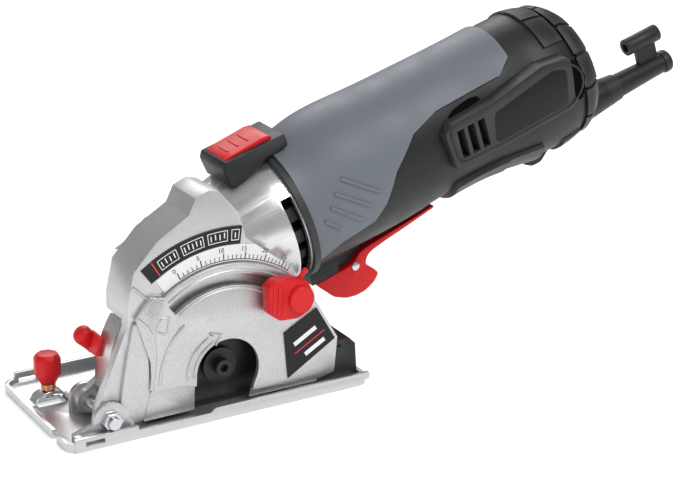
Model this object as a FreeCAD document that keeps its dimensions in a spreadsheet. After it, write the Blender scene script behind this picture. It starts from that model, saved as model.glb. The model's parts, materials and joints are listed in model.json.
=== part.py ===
"""Mini plunge circular saw: a parametric assembly of named pieces, in millimetres.

Row frame: +X towards the motor's cable end, +Y away from the blade side, +Z up. The origin is the
centre of the base plate's underside. Pieces on the motor are drawn in the motor's own frame, where
z runs along the armature from the foot of the jackshaft, y is the row's +Y and x points down.
"""
import FreeCAD
import Part
import Sketcher
import os
import re

doc = FreeCAD.newDocument("mini_plunge_saw")

# ---------------------------------------------------------------- driving dimensions
SIZES = {
    # base plate
    "base_length": 168, "base_width": 90, "base_floor": 2.5, "base_corner": 7,
    "rim_height": 4.8, "rim_wall": 2.2, "rail_height": 8.2, "nose_height": 7,
    "ear_wall": 3, "ear_crown": 9.5, "slot_clear": 4,
    # plunge axle
    "axle_x": -59, "axle_z": 10.3, "axle_rad": 3, "axle_clear": 0.06, "nut_flats": 9, "nut_high": 3,
    "arm_wall": 6, "far_arm_wall": 5, "arm_boss": 6.4, "side_gap": 0.3,
    # spindle and blade
    "spindle_x": 5, "spindle_z": 22.5, "blade_rad": 44.5, "blade_wall": 1.2, "blade_y": -26.5,
    "blade_bore": 5, "blade_teeth": 36, "tooth_deep": 2.2,
    "flange_rad": 9.2, "outer_flange_wall": 3, "inner_flange_wall": 2.5,
    "bolt_rad": 2.5, "bolt_head_rad": 4.25, "bolt_head_high": 5, "bolt_long": 14, "hex_key": 4,
    # head casting
    "head_near_y": -36.5, "head_far_y": -11, "head_floor": 4.8, "blade_gap": 2.5, "chamber_far_y": -22.5,
    "belt_near_y": -17.5, "cover_wall": 3, "window_rad": 17.3, "cover_rim": 57, "cover_screw_circle": 51.8,
    "slot_rad": 48.5, "slot_wide": 6, "slot_start": 124, "slot_end": 47, "slot_over": 3.6,
    "scale_in": 57.6, "scale_out": 66, "label_out": 75.5, "plate_wall": 0.8,
    # bearings, belt and gears
    "bearing_rad": 9.5, "bearing_wall": 5, "shaft_rad": 4, "belt_wall": 2, "belt_gap": 0.3,
    "pulley_rad": 11, "belt_case_gap": 1.6, "case_wall": 2.6,
    "gear_rad": 15, "pinion_rad": 5, "mesh_gap": 0.35, "front_seat": 24.9, "jack_seat_y": 14,
    "lock_top": 29.2, "lock_boss_rad": 6,
    # motor
    "motor_y": 2, "motor_tilt": 17.1, "foot_x": -8.5, "foot_z": 65.6,
    "cone_start": -19, "cone_end": 58, "cone_small": 21.5, "cone_large": 35.2, "cone_wall": 3,
    "vent_end": 66.5, "vent_up": 20, "vent_down": 27, "collar_end": 70, "collar_rad": 37.2,
    "body_end": 263, "body_wall": 3.6, "skin": 1.4, "body_half_wide": 36, "bumper_start": 245,
    "side_vent_start": 160, "side_vent_step": 6.6, "side_vent_wide": 4.4, "rear_vent_start": 237.6,
    "field_rad": 27, "field_bore": 16.6, "field_start": 78, "field_end": 116,
    "core_rad": 16, "armature_end": 168, "fan_rad": 30, "fan_start": 57.6, "fan_wall": 8,
    "gland_drop": 29, "gland_rad": 8, "gland_bore": 3.6, "gland_end": 323, "key_bore": 2.6, "key_wall": 2.2,
    # controls
    "knob_rad": 7.4, "knob_high": 10, "stud_rad": 2.4, "run_gap": 0.06, "touch_gap": 0.3,
    "switch_start": 41, "switch_end": 79, "switch_half": 14, "switch_low": 30, "switch_high": 45,
    "slider_half": 11, "slider_rise": 2.2, "slider_travel": 4,
    "trigger_t": 97, "trigger_n": -46, "trigger_half": 9, "trigger_pin": 2,
    "guard_in": 59, "guard_out": 60.6, "guard_near_y": -28, "guard_far_y": -13, "lever_tab": 1.5,
    "guide_x": -70, "guide_y": 14, "guide_half": 11.5, "guide_wide": 8, "guide_sheet": 1.6,
    "guide_top": 9, "guide_knob_rad": 7.2, "guide_knob_low": 13.2, "guide_knob_high": 15.5,
    "outlet_x": 58, "outlet_long": 23.6, "outlet_near_y": -35.9, "outlet_wide": 23, "outlet_high": 22,
    "outlet_bore": 7.6, "button_rad": 5, "plunger_rad": 1.8,
}

sheet = doc.addObject("Spreadsheet::Sheet", "dims")
for row_number, (alias, value) in enumerate(SIZES.items(), start=1):
    sheet.set("A%d" % row_number, alias)
    sheet.set("B%d" % row_number, str(value))
    sheet.setAlias("B%d" % row_number, alias)
doc.recompute()

NAME_PATTERN = re.compile(r"\b(" + "|".join(sorted(SIZES, key=len, reverse=True)) + r")\b")
ROUND_NEAR = "rotation(vector(1; 0; 0); 90)"      # local z towards -Y, local y up
UPRIGHT = "rotation(vector(0; 0; 1); 0)"
ALONG_X = "rotation(vector(0; 1; 0); 90)"
ON_MOTOR = "placement(vector(foot_x; motor_y; foot_z); rotation(vector(0; 1; 0); 90 - motor_tilt))"

nodes = []


def formula(text):
    """The text of a size with each sheet name made a reference to its cell."""
    return NAME_PATTERN.sub(r"dims.\1", str(text))


def bind(piece, prop, text):
    """Ties one property of a document object to a formula of sheet names."""
    piece.setExpression(prop, formula(text))


def place(piece, x, y, z, turn=UPRIGHT, motor=False):
    """Places an object at a point of formulas, in the row frame or in the motor's frame."""
    text = "placement(vector(%s; %s; %s); %s)" % (x, y, z, turn)
    if motor:
        text = ON_MOTOR + " * " + text
    bind(piece, "Placement", text)
    return piece


def node(piece, label):
    """Marks a document object as a finished sub-part with its own label."""
    piece.Label = label
    nodes.append(piece)
    return piece


# ---------------------------------------------------------------- primitives and booleans
def box(name, x, y, z, motor=False):
    """A box between two formulas along each axis, each given as a pair."""
    piece = doc.addObject("Part::Box", name)
    for prop, span in (("Length", x), ("Width", y), ("Height", z)):
        bind(piece, prop, "(%s) - (%s)" % (span[1], span[0]))
    return place(piece, x[0], y[0], z[0], UPRIGHT, motor)


def cylinder(name, radius, x, y, low, high, motor=False):
    """An upright cylinder from low to high."""
    piece = doc.addObject("Part::Cylinder", name)
    bind(piece, "Radius", radius)
    bind(piece, "Height", "(%s) - (%s)" % (high, low))
    return place(piece, x, y, low, UPRIGHT, motor)


def cylinder_y(name, radius, x, z, near, far, start=0, sweep=360, motor=False):
    """A cylinder along Y between two faces, or a sector of one counted from +X towards +Z."""
    piece = doc.addObject("Part::Cylinder", name)
    bind(piece, "Radius", radius)
    bind(piece, "Height", "(%s) - (%s)" % (far, near))
    bind(piece, "Angle", sweep)
    turn = ROUND_NEAR
    if start != 0:
        turn = "rotation(vector(1; 0; 0); 90) * rotation(vector(0; 0; 1); %s)" % start
    return place(piece, x, far, z, turn, motor)


def cylinder_x(name, radius, low, high, y, z, motor=False):
    """A cylinder along X from low to high."""
    piece = doc.addObject("Part::Cylinder", name)
    bind(piece, "Radius", radius)
    bind(piece, "Height", "(%s) - (%s)" % (high, low))
    return place(piece, low, y, z, ALONG_X, motor)


def cone(name, low_radius, high_radius, x, y, low, high, motor=False):
    """An upright cone from low to high."""
    piece = doc.addObject("Part::Cone", name)
    bind(piece, "Radius1", low_radius)
    bind(piece, "Radius2", high_radius)
    bind(piece, "Height", "(%s) - (%s)" % (high, low))
    return place(piece, x, y, low, UPRIGHT, motor)


def fuse(name, *pieces):
    """The union of several objects."""
    piece = doc.addObject("Part::MultiFuse", name)
    piece.Shapes = list(pieces)
    return piece


def cut(name, base, *tools):
    """The first object less all the others."""
    piece = doc.addObject("Part::Cut", name)
    piece.Base = base
    piece.Tool = tools[0] if len(tools) == 1 else fuse(name + "_tools", *tools)
    return piece


def common(name, *pieces):
    """What several objects share."""
    piece = doc.addObject("Part::MultiCommon", name)
    piece.Shapes = list(pieces)
    return piece


def group(name, *pieces):
    """Separate solids kept together as one set."""
    piece = doc.addObject("Part::Compound", name)
    piece.Links = list(pieces)
    return piece


def ring_y(name, outer, inner, x, z, near, far, start=0, sweep=360):
    """A ring, or a sector of one, along Y."""
    whole = cylinder_y(name + "_outer", outer, x, z, near, far, start, sweep)
    hole = cylinder_y(name + "_inner", inner, x, z, "(%s) - 1" % near, "(%s) + 1" % far)
    return cut(name, whole, hole)


def tube(name, outer, inner, x, y, low, high, motor=False):
    """An upright tube."""
    whole = cylinder(name + "_outer", outer, x, y, low, high, motor)
    hole = cylinder(name + "_inner", inner, x, y, "(%s) - 1" % low, "(%s) + 1" % high, motor)
    return cut(name, whole, hole)


# ---------------------------------------------------------------- sketched bodies
def sketch_on(body, plane, name):
    """A sketch attached to one of its own body's origin planes."""
    sketch = body.newObject("Sketcher::SketchObject", name)
    role = [entry for entry in body.Origin.OriginFeatures if entry.Role == plane][0]
    sketch.AttachmentSupport = [(role, "")]
    sketch.MapMode = "FlatFace"
    return sketch


def outline(sketch, points):
    """A closed outline whose corners are pairs of formulas."""
    count = len(points)
    start = sketch.GeometryCount
    values = [tuple(float(evaluate(entry)) for entry in point) for point in points]
    for index in range(count):
        here = FreeCAD.Vector(values[index][0], values[index][1], 0)
        there = FreeCAD.Vector(*values[(index + 1) % count], 0)
        sketch.addGeometry(Part.LineSegment(here, there))
    for index in range(count):
        following = start + (index + 1) % count
        sketch.addConstraint(Sketcher.Constraint("Coincident", start + index, 2, following, 1))
        for kind, text, value in zip(("DistanceX", "DistanceY"), points[index], values[index]):
            place_rule = Sketcher.Constraint(kind, -1, 1, start + index, 1, value)
            number = sketch.addConstraint(place_rule)
            sketch.setExpression("Constraints[%d]" % number, formula(text))
    return sketch


def circle(sketch, radius, x=0, y=0):
    """A circle of a formula's radius at a point of formulas."""
    middle = FreeCAD.Vector(float(evaluate(x)), float(evaluate(y)), 0)
    number = sketch.GeometryCount
    sketch.addGeometry(Part.Circle(middle, FreeCAD.Vector(0, 0, 1), float(evaluate(radius))))
    rules = (("DistanceX", x, middle.x), ("DistanceY", y, middle.y))
    for kind, text, value in rules:
        rule = sketch.addConstraint(Sketcher.Constraint(kind, -1, 1, number, 3, value))
        sketch.setExpression("Constraints[%d]" % rule, formula(text))
    rule = sketch.addConstraint(Sketcher.Constraint("Radius", number, float(evaluate(radius))))
    sketch.setExpression("Constraints[%d]" % rule, formula(radius))
    return sketch


def evaluate(text):
    """The present value of a formula of sheet names."""
    return sheet.evalExpression(NAME_PATTERN.sub(r"\1", str(text)))


def new_body(name):
    """An empty PartDesign body."""
    return doc.addObject("PartDesign::Body", name)


def pad(body, sketch, length, name):
    """A pad of a sketch along its plane's normal."""
    feature = body.newObject("PartDesign::Pad", name)
    feature.Profile = sketch
    bind(feature, "Length", length)
    sketch.Visibility = False
    return feature


def pocket(body, sketch, name):
    """A pocket through everything, both ways from the sketch."""
    feature = body.newObject("PartDesign::Pocket", name)
    feature.Profile = sketch
    feature.Type = "ThroughAll"
    feature.Midplane = True
    return feature


def around(body, feature, count, name):
    """Repeats a feature about the body's own z axis."""
    pattern = body.newObject("PartDesign::PolarPattern", name)
    axis = [entry for entry in body.Origin.OriginFeatures if entry.Role == "Z_Axis"][0]
    pattern.Originals = [feature]
    pattern.Axis = (axis, [""])
    pattern.Angle = 360
    bind(pattern, "Occurrences", count)
    body.Tip = pattern
    return pattern


def disc_body(name, radius, length, bore=None):
    """A round body on its own z axis, with a bore if one is given."""
    body = new_body(name)
    sketch = circle(sketch_on(body, "XY_Plane", name + "_round"), radius)
    if bore is not None:
        circle(sketch, bore)
    pad(body, sketch, length, name + "_pad")
    return body


def notch(body, points, count, name):
    """Cuts a notch of the given outline and repeats it round the body."""
    feature = pocket(body, outline(sketch_on(body, "XY_Plane", name + "_outline"), points), name)
    return around(body, feature, count, name + "_round")


def plate(name, points, near, far, motor=False):
    """A plate of an X-Z outline between two faces along Y."""
    body = new_body(name)
    sketch = outline(sketch_on(body, "XZ_Plane", name + "_outline"), points)
    pad(body, sketch, "(%s) - (%s)" % (far, near), name + "_pad").Reversed = True
    return place(body, 0, near, 0, UPRIGHT, motor)


def loft(name, stations, shrink):
    """A smooth body through upright ellipses of the motor frame, smaller all round by shrink."""
    sections = []
    for index, (along, high, wide, rise) in enumerate(stations):
        section = doc.addObject("Part::Ellipse", "%s_section_%d" % (name, index))
        bind(section, "MajorRadius", "(%s) - (%s)" % (high, shrink))
        bind(section, "MinorRadius", "(%s) - (%s)" % (wide, shrink))
        place(section, "-(%s)" % rise, 0, along, UPRIGHT, True)
        sections.append(section)
    piece = doc.addObject("Part::Loft", name)
    piece.Sections = sections
    piece.Solid = True
    return piece


# ---------------------------------------------------------------- base
def rounded_slab(name, inset, low, high):
    """The base plate's outline, round at its corners and smaller all round by inset."""
    half_long = "base_length / 2 - (%s)" % inset
    half_wide = "base_width / 2 - (%s)" % inset
    corner = "base_corner - (%s)" % inset
    pieces = [
        box(name + "_long", ("-(%s)" % half_long, half_long),
            ("-(%s) + %s" % (half_wide, corner), "%s - (%s)" % (half_wide, corner)), (low, high)),
        box(name + "_wide", ("-(%s) + %s" % (half_long, corner), "%s - (%s)" % (half_long, corner)),
            ("-(%s)" % half_wide, half_wide), (low, high)),
    ]
    for index, (side, end) in enumerate(((-1, -1), (-1, 1), (1, -1), (1, 1))):
        x = "%d * (%s - (%s))" % (end, half_long, corner)
        y = "%d * (%s - (%s))" % (side, half_wide, corner)
        pieces.append(cylinder("%s_corner_%d" % (name, index), corner, x, y, low, high))
    return fuse(name, *pieces)


EAR_FAR = "head_near_y"
EAR_NEAR = "head_near_y - ear_wall"
ARM_NEAR = "head_near_y + side_gap"
ARM_FAR = "head_near_y + side_gap + arm_wall"
FAR_ARM_NEAR = "guard_far_y + 0.4"
FAR_ARM_FAR = "guard_far_y + 0.4 + far_arm_wall"
FAR_EAR_NEAR = "guard_far_y + 0.4 + far_arm_wall + side_gap"
FAR_EAR_FAR = "guard_far_y + 0.4 + far_arm_wall + side_gap + ear_wall"
RIM_NEAR = "-base_width / 2"
SLOT_LOW = "base_floor + 0.1"
SLOT_HIGH = "base_floor + 2.5"
GUIDE_SLOT = ("guide_x - 5", "guide_x + 5")


def make_base_plate():
    """The cast tray that rests on the work, with its rails, ears and slots."""
    tray = cut("tray", rounded_slab("tray_block", "0", "0", "rim_height"),
               rounded_slab("tray_hollow", "rim_wall", "base_floor", "rim_height + 5"))
    far_rail = box("far_rail", ("-base_length / 2 + base_corner", "base_length / 2 - 2 * base_corner"),
                   ("base_width / 2 - rim_wall", "base_width / 2"), ("0", "rail_height"))
    nose_rail = box("nose_rail", ("-base_length / 2 + base_corner / 2", "axle_x + 12"),
                    (RIM_NEAR, RIM_NEAR + " + rim_wall"), ("0", "nose_height"))
    ear_outline = [("axle_x - 20", "1"), ("axle_x - 20", "nose_height"),
                   ("axle_x - ear_crown", "axle_z"), ("axle_x + ear_crown", "axle_z"),
                   ("axle_x + 12", "nose_height"), ("axle_x + 12", "1")]
    near_ear = plate("near_ear", ear_outline, EAR_NEAR, EAR_FAR)
    near_crown = cylinder_y("near_crown", "ear_crown", "axle_x", "axle_z", EAR_NEAR, EAR_FAR)
    near_rib = box("near_rib", ("axle_x - 20", "axle_x - 17"), (RIM_NEAR, EAR_FAR), ("1", "nose_height"))
    far_outline = [("axle_x - 8", "1"), ("axle_x - 8", "axle_z"), ("axle_x + 8", "axle_z"), ("axle_x + 8", "1")]
    far_ear = plate("far_ear", far_outline, FAR_EAR_NEAR, FAR_EAR_FAR)
    far_crown = cylinder_y("far_crown", "8", "axle_x", "axle_z", FAR_EAR_NEAR, FAR_EAR_FAR)
    solid = fuse("base_solid", tray, far_rail, nose_rail, near_ear, near_crown, near_rib, far_ear, far_crown)
    blade_slot = box("blade_slot", ("spindle_x - blade_rad", "spindle_x + blade_rad + slot_clear"),
                     ("blade_y - slot_clear", "blade_y + slot_clear + 2"), ("-1", "base_floor + 1"))
    guard_slot = box("guard_slot", ("spindle_x - guard_out - 2", "spindle_x - blade_rad + 1"),
                     ("guard_near_y - 1.5", "guard_far_y"), ("-1", "base_floor + 1"))
    clamp_hole = box("clamp_hole", ("guide_x - guide_half + 4", "guide_x + guide_half - 4"),
                     ("guide_y - 5", "guide_y + 5"), ("-1", "base_floor + 1"))
    near_guide = box("near_guide", GUIDE_SLOT, (RIM_NEAR + " - 1", EAR_NEAR + " + 1"), (SLOT_LOW, SLOT_HIGH))
    far_guide = box("far_guide", GUIDE_SLOT, ("base_width / 2 - rim_wall - 1", "base_width / 2 + 1"),
                    (SLOT_LOW, SLOT_HIGH))
    pin_hole = cylinder_y("ear_holes", "axle_rad + axle_clear", "axle_x", "axle_z", "-50", "10")
    nose_notch = box("nose_notch", ("-base_length / 2 - 1", "-base_length / 2 + 2.5"),
                     ("blade_y - 3", "blade_y + 3"), ("-1", "base_floor + 5"))
    return node(cut("base", solid, blade_slot, guard_slot, clamp_hole, near_guide, far_guide, pin_hole,
                    nose_notch), "base_plate")


def make_axle():
    """The plunge axle: a bolt through both ears and arms, with its nut."""
    shank = cylinder_y("axle_shank", "axle_rad", "axle_x", "axle_z", EAR_NEAR + " - nut_high - 2", FAR_EAR_FAR)
    head = cylinder_y("axle_head", "axle_rad + 2.2", "axle_x", "axle_z", FAR_EAR_FAR, FAR_EAR_FAR + " + 3")
    node(fuse("axle", shank, head), "axle_bolt")
    prism = doc.addObject("Part::Prism", "nut_prism")
    prism.Polygon = 6
    bind(prism, "Circumradius", "nut_flats / 2 / cos(30)")
    bind(prism, "Height", "nut_high")
    place(prism, "axle_x", EAR_NEAR, "axle_z", ROUND_NEAR)
    hole = cylinder_y("nut_hole", "axle_rad", "axle_x", "axle_z", EAR_NEAR + " - nut_high - 1", EAR_NEAR + " + 1")
    node(cut("nut", prism, hole), "axle_nut")


def make_guide_clamp():
    """The bent steel bridge, spring and knob that hold a parallel guide."""
    span = ("guide_y - guide_wide / 2", "guide_y + guide_wide / 2")
    top = box("bridge_top", ("guide_x - guide_half", "guide_x + guide_half"), span,
              ("guide_top - guide_sheet", "guide_top"))
    legs = []
    for side in (-1, 1):
        outer = "guide_x + %d * guide_half" % side
        inner = "guide_x + %d * (guide_half - guide_sheet)" % side
        ends = (outer, inner) if side < 0 else (inner, outer)
        legs.append(box("bridge_leg_%d" % (side + 1), ends, span, ("base_floor", "guide_top")))
    hole = cylinder("bridge_hole", "stud_rad + run_gap", "guide_x", "guide_y", "1", "guide_top + 1")
    node(cut("bridge", fuse("bridge_solid", top, *legs), hole), "guide_bridge")
    node(tube("guide_coil", "stud_rad + 1.9", "stud_rad + 0.9", "guide_x", "guide_y", "guide_top",
              "guide_knob_low - touch_gap"), "guide_spring")
    node(cylinder("guide_stud", "stud_rad", "guide_x", "guide_y", SLOT_HIGH + " + touch_gap", "guide_knob_low"),
         "guide_screw")
    knob = disc_body("guide_knob_body", "guide_knob_rad", "guide_knob_high")
    flute = [("guide_knob_rad - 0.9", "-0.7"), ("guide_knob_rad + 1", "-1.3"), ("guide_knob_rad + 1", "1.3"),
             ("guide_knob_rad - 0.9", "0.7")]
    notch(knob, flute, "12", "guide_flute")
    node(place(knob, "guide_x", "guide_y", "guide_knob_low"), "guide_knob")


def make_dust_outlet():
    """The black outlet box at the base's rear, with its hose socket."""
    left = "outlet_x"
    right = "outlet_x + outlet_long"
    top = "base_floor + outlet_high"
    shape = plate("outlet_block", [(left, "base_floor"), (left + " + 1", top + " - 5"), (left + " + 5", top),
                                   (right + " - 5", top), (right + " - 1", top + " - 4"),
                                   (right, "base_floor")], "outlet_near_y", "outlet_near_y + outlet_wide")
    middle = ("outlet_near_y + outlet_wide / 2", "base_floor + outlet_high / 2")
    socket = cylinder_x("outlet_socket", "outlet_bore", "outlet_x + 8", "outlet_x + outlet_long + 1", *middle)
    duct = cylinder_x("outlet_duct", "outlet_bore - 2", "outlet_x - 1", "outlet_x + 9", *middle)
    latch = box("outlet_latch", ("outlet_x + 9", "outlet_x + 14"),
                ("outlet_near_y - 1", "outlet_near_y + 1"), (top + " - 4.5", top + " - 3"))
    node(cut("outlet", shape, socket, duct, latch), "dust_outlet")


# ---------------------------------------------------------------- head castings
HEAD_OUTLINE = [("-44", "head_floor"), ("-46", "20"), ("-47", "40"), ("-47", "66"), ("-43", "83"),
                ("-30", "97"), ("-13", "107"), ("-9", "115"), ("-2", "118"), ("4", "116.5"), ("14", "104"),
                ("18", "90"),
                ("43", "70"), ("57", "49"), ("57", "head_floor")]
BELT_NEAR = "belt_near_y + belt_gap"
BELT_FAR = "head_far_y - belt_gap"
BEARING_FAR = "head_far_y + bearing_wall"
LOCK_Y = "-pinion_rad - mesh_gap - 0.6"
CHAMBER = "(blade_rad + blade_gap)"
CONE_SLOPE = "(cone_large - cone_small) / (cone_end - cone_start)"


def racetrack(name, radius, near, far):
    """A slab along Y that holds both pulley centres, round at each."""
    reach = "sqrt((foot_x - spindle_x)^2 + (foot_z - spindle_z)^2)"
    lean = "atan((spindle_x - foot_x) / (foot_z - spindle_z))"
    middle = doc.addObject("Part::Box", name + "_middle")
    bind(middle, "Length", "2 * (%s)" % radius)
    bind(middle, "Width", "(%s) - (%s)" % (far, near))
    bind(middle, "Height", reach)
    bind(middle, "Placement", "placement(vector(spindle_x; %s; spindle_z); rotation(vector(0; -1; 0); %s))"
         " * placement(vector(-(%s); 0; 0); %s)" % (near, lean, radius, UPRIGHT))
    return fuse(name, middle, cylinder_y(name + "_low", radius, "spindle_x", "spindle_z", near, far),
                cylinder_y(name + "_high", radius, "foot_x", "foot_z", near, far))


def gear_shell(name, shrink, low, high):
    """The cone of the gear housing between two stations, smaller all round by shrink."""
    low_radius = "cone_small + (%s) * ((%s) - cone_start) - (%s)" % (CONE_SLOPE, low, shrink)
    high_radius = "cone_small + (%s) * ((%s) - cone_start) - (%s)" % (CONE_SLOPE, high, shrink)
    return cone(name, low_radius, high_radius, "0", "0", low, high, True)


def make_guard_housing():
    """The casting round the blade, with the front arms, bearing seat, belt cavity and guard slot."""
    block = plate("head_block", HEAD_OUTLINE, "head_near_y", "head_far_y")
    near_arm = plate("near_arm", [("axle_x - 5", "axle_z - 4"), ("axle_x - 6", "axle_z + 5"), ("-50", "50"),
                                  ("-45", "60"), ("-36", "60"), ("-36", "12"), ("-44", "5.4"),
                                  ("axle_x + 5", "axle_z - 5")], ARM_NEAR, ARM_FAR)
    near_boss = cylinder_y("near_boss", "arm_boss", "axle_x", "axle_z", ARM_NEAR, ARM_FAR)
    far_arm = plate("far_arm", [("axle_x - 4", "axle_z + 4"), ("-47", "26"), ("-40", "26"), ("-40", "5.4"),
                                ("axle_x + 2", "axle_z - 5.5")], FAR_ARM_NEAR, FAR_ARM_FAR)
    far_boss = cylinder_y("far_boss", "arm_boss", "axle_x", "axle_z", FAR_ARM_NEAR, FAR_ARM_FAR)
    solid = fuse("head_solid", block, near_arm, near_boss, far_arm, far_boss)
    chamber = cylinder_y("blade_chamber", CHAMBER, "spindle_x", "spindle_z", "head_near_y - 1",
                         "chamber_far_y")
    mouth = box("blade_mouth", ("spindle_x - " + CHAMBER + " + 2.5", "spindle_x + " + CHAMBER + " - 2"),
                ("head_near_y - 1", "chamber_far_y"), ("0", "spindle_z"))
    carriage_way = cylinder_y("carriage_way", "slot_rad + 6", "spindle_x", "spindle_z", "head_near_y - 1",
                              "head_near_y + 3")
    belt_cavity = racetrack("belt_cavity", "pulley_rad + belt_wall + belt_case_gap", "belt_near_y",
                            "head_far_y + 1")
    seat = cylinder_y("near_seat", "bearing_rad", "spindle_x", "spindle_z", "chamber_far_y - 1",
                      "belt_near_y + 1")
    guard_way = ring_y("guard_way", "guard_out + lever_tab + 0.7", "guard_in - 0.8", "spindle_x", "spindle_z",
                       "guard_near_y - 0.6", "head_far_y + 1", "118", "57")
    gear_cavity = gear_shell("gear_cavity", "cone_wall", "30", "cone_end + 10")
    axle_hole = cylinder_y("arm_holes", "axle_rad + axle_clear", "axle_x", "axle_z", "-50", "10")
    node(cut("head", solid, chamber, mouth, carriage_way, belt_cavity, seat, guard_way, gear_cavity,
             axle_hole), "guard_housing")
    return block


def make_guard_cover():
    """The near cover with the blade window and the depth slot."""
    low = "head_floor"
    outline_points = [("-37", "20"), ("-37", "36"), ("-44", "60"), ("-36", "70"), ("-27", "68"),
                      ("38", "68"), ("56", "49"), ("68", "28"), ("66", "9"), ("57.5", "7"), ("20", "9"),
                      ("-20", "20")]
    face = plate("cover_face", outline_points, "head_near_y - cover_wall", "head_near_y")
    crown = cylinder_y("cover_crown", "cover_rim", "spindle_x", "spindle_z", "head_near_y - cover_wall",
                       "head_near_y", "35", "105")
    skirt = plate("cover_skirt", [("-41", low), ("-41", "22"), ("57", "22"), ("57", low)],
                  "head_near_y - 1", "head_near_y")
    window = cylinder_y("cover_window", "window_rad", "spindle_x", "spindle_z", "head_near_y - 10",
                        "head_near_y + 1")
    way_down = plate("cover_way_down", [("spindle_x - window_rad", "spindle_z"), ("spindle_x - 18.5", "0"),
                                        ("spindle_x + 11", "0"), ("spindle_x + window_rad", "spindle_z")],
                     "head_near_y - 10", "head_near_y + 1")
    slot = ring_y("depth_slot", "slot_rad + slot_wide / 2", "slot_rad - slot_wide / 2", "spindle_x",
                  "spindle_z", "head_near_y - 10", "head_near_y + 1", "slot_end - slot_over",
                  "slot_start - slot_end + 2 * slot_over")
    node(cut("cover", fuse("cover_solid", face, crown, skirt), window, way_down, slot), "guard_cover")


def make_labels():
    """The depth scale band and the rating plate, both thin and fixed to the castings."""
    scale = ring_y("scale_ring", "scale_out", "scale_in", "spindle_x", "spindle_z",
                   "head_near_y - plate_wall", "head_near_y", "46", "78")
    crown = common("scale_common", scale,
                   plate("scale_field", HEAD_OUTLINE, "head_near_y - 2", "head_near_y + 1"))
    node(crown, "scale_plate")
    label = ring_y("label_ring", "label_out", "scale_out + 0.4", "spindle_x", "spindle_z",
                   "head_near_y - plate_wall", "head_near_y", "82", "44")
    node(common("label_common", label,
                plate("label_field", HEAD_OUTLINE, "head_near_y - 2", "head_near_y + 1")), "label_plate")
    near = "head_near_y - cover_wall - plate_wall"
    node(plate("rating_shape", [("36.5", "36.5"), ("38.5", "11.5"), ("66", "28"), ("55.6", "46.6")], near,
               "head_near_y - cover_wall"), "rating_plate")


def make_bearing_plate():
    """The far plate of the belt case, which holds the far bearings of spindle and jackshaft."""
    body = racetrack("bearing_block", "pulley_rad + belt_wall + belt_case_gap + case_wall", "head_far_y",
                     BEARING_FAR)
    cap = cylinder_y("spindle_cap", "bearing_rad + 2.5", "spindle_x", "spindle_z", BEARING_FAR,
                     BEARING_FAR + " + 1.4")
    seats = [cylinder_y("far_seat_low", "bearing_rad", "spindle_x", "spindle_z", "head_far_y - 1", BEARING_FAR),
             cylinder_y("far_seat_high", "bearing_rad", "foot_x", "foot_z", "head_far_y - 1",
                        BEARING_FAR + " + 1")]
    return node(cut("case_plate", fuse("case_solid", body, cap), *seats), "bearing_plate")


def make_gear_housing(head_block, bearing_block):
    """The cast cone round the gears and fan, with its vents, far boss and lock button boss."""
    outside = gear_shell("gear_outside", "0", "cone_start", "cone_end")
    vent_ring = cylinder("vent_ring", "cone_large", "0", "0", "cone_end", "vent_end", True)
    boss_wall = "cone_small + (%s) * (-cone_start) + 1" % CONE_SLOPE
    front_hollow = gear_shell("front_hollow", "cone_wall", "cone_start + cone_wall", "24")
    rear_hollow = gear_shell("rear_hollow", "cone_wall", "30", "cone_end")
    ring_hollow = cylinder("ring_hollow", "cone_large - cone_wall", "0", "0", "cone_end", "vent_end + 1", True)
    seat = cylinder("armature_seat", "bearing_rad", "0", "0", "front_seat", "31", True)
    shaft_way = cylinder("armature_way", "shaft_rad + 1.5", "0", "0", "20", "31", True)
    window = box("vent_window", ("-vent_up", "vent_down"), ("-cone_large - 5", "cone_large + 5"),
                 ("cone_end + 1", "vent_end - 1"), True)
    under_head = box("under_head_block", ("-80", "120"), ("head_near_y - 1", "head_far_y"), ("-10", "140"))
    head_share = common("head_share", head_block, under_head)
    walls = cut("gear_walls", fuse("gear_solid", outside, vent_ring), front_hollow, rear_hollow, ring_hollow,
                shaft_way, head_share, bearing_block, window)
    far_boss = cylinder_y("jack_boss", "bearing_rad + 3", "0", "0", "jack_seat_y - motor_y", boss_wall, motor=True)
    lock_boss = cylinder_x("lock_boss", "lock_boss_rad", "-lock_top + 3.6", "-gear_rad - 4", LOCK_Y, "0", True)
    jack_seat = cylinder_y("jack_seat", "bearing_rad", "0", "0", "0", "jack_seat_y - motor_y + bearing_wall", motor=True)
    lock_way = cylinder_x("lock_way", "plunger_rad + run_gap", "-50", "-gear_rad", LOCK_Y, "0", True)
    node(cut("gear_case", fuse("gear_case_solid", walls, far_boss, lock_boss), jack_seat, lock_way, seat),
         "gear_housing")


# ---------------------------------------------------------------- spindle, jackshaft and belt
def near_from(body, x, far, z):
    """Sets a round body along Y so that it runs from its far face towards the blade side."""
    return place(body, x, far, z, ROUND_NEAR)


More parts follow.
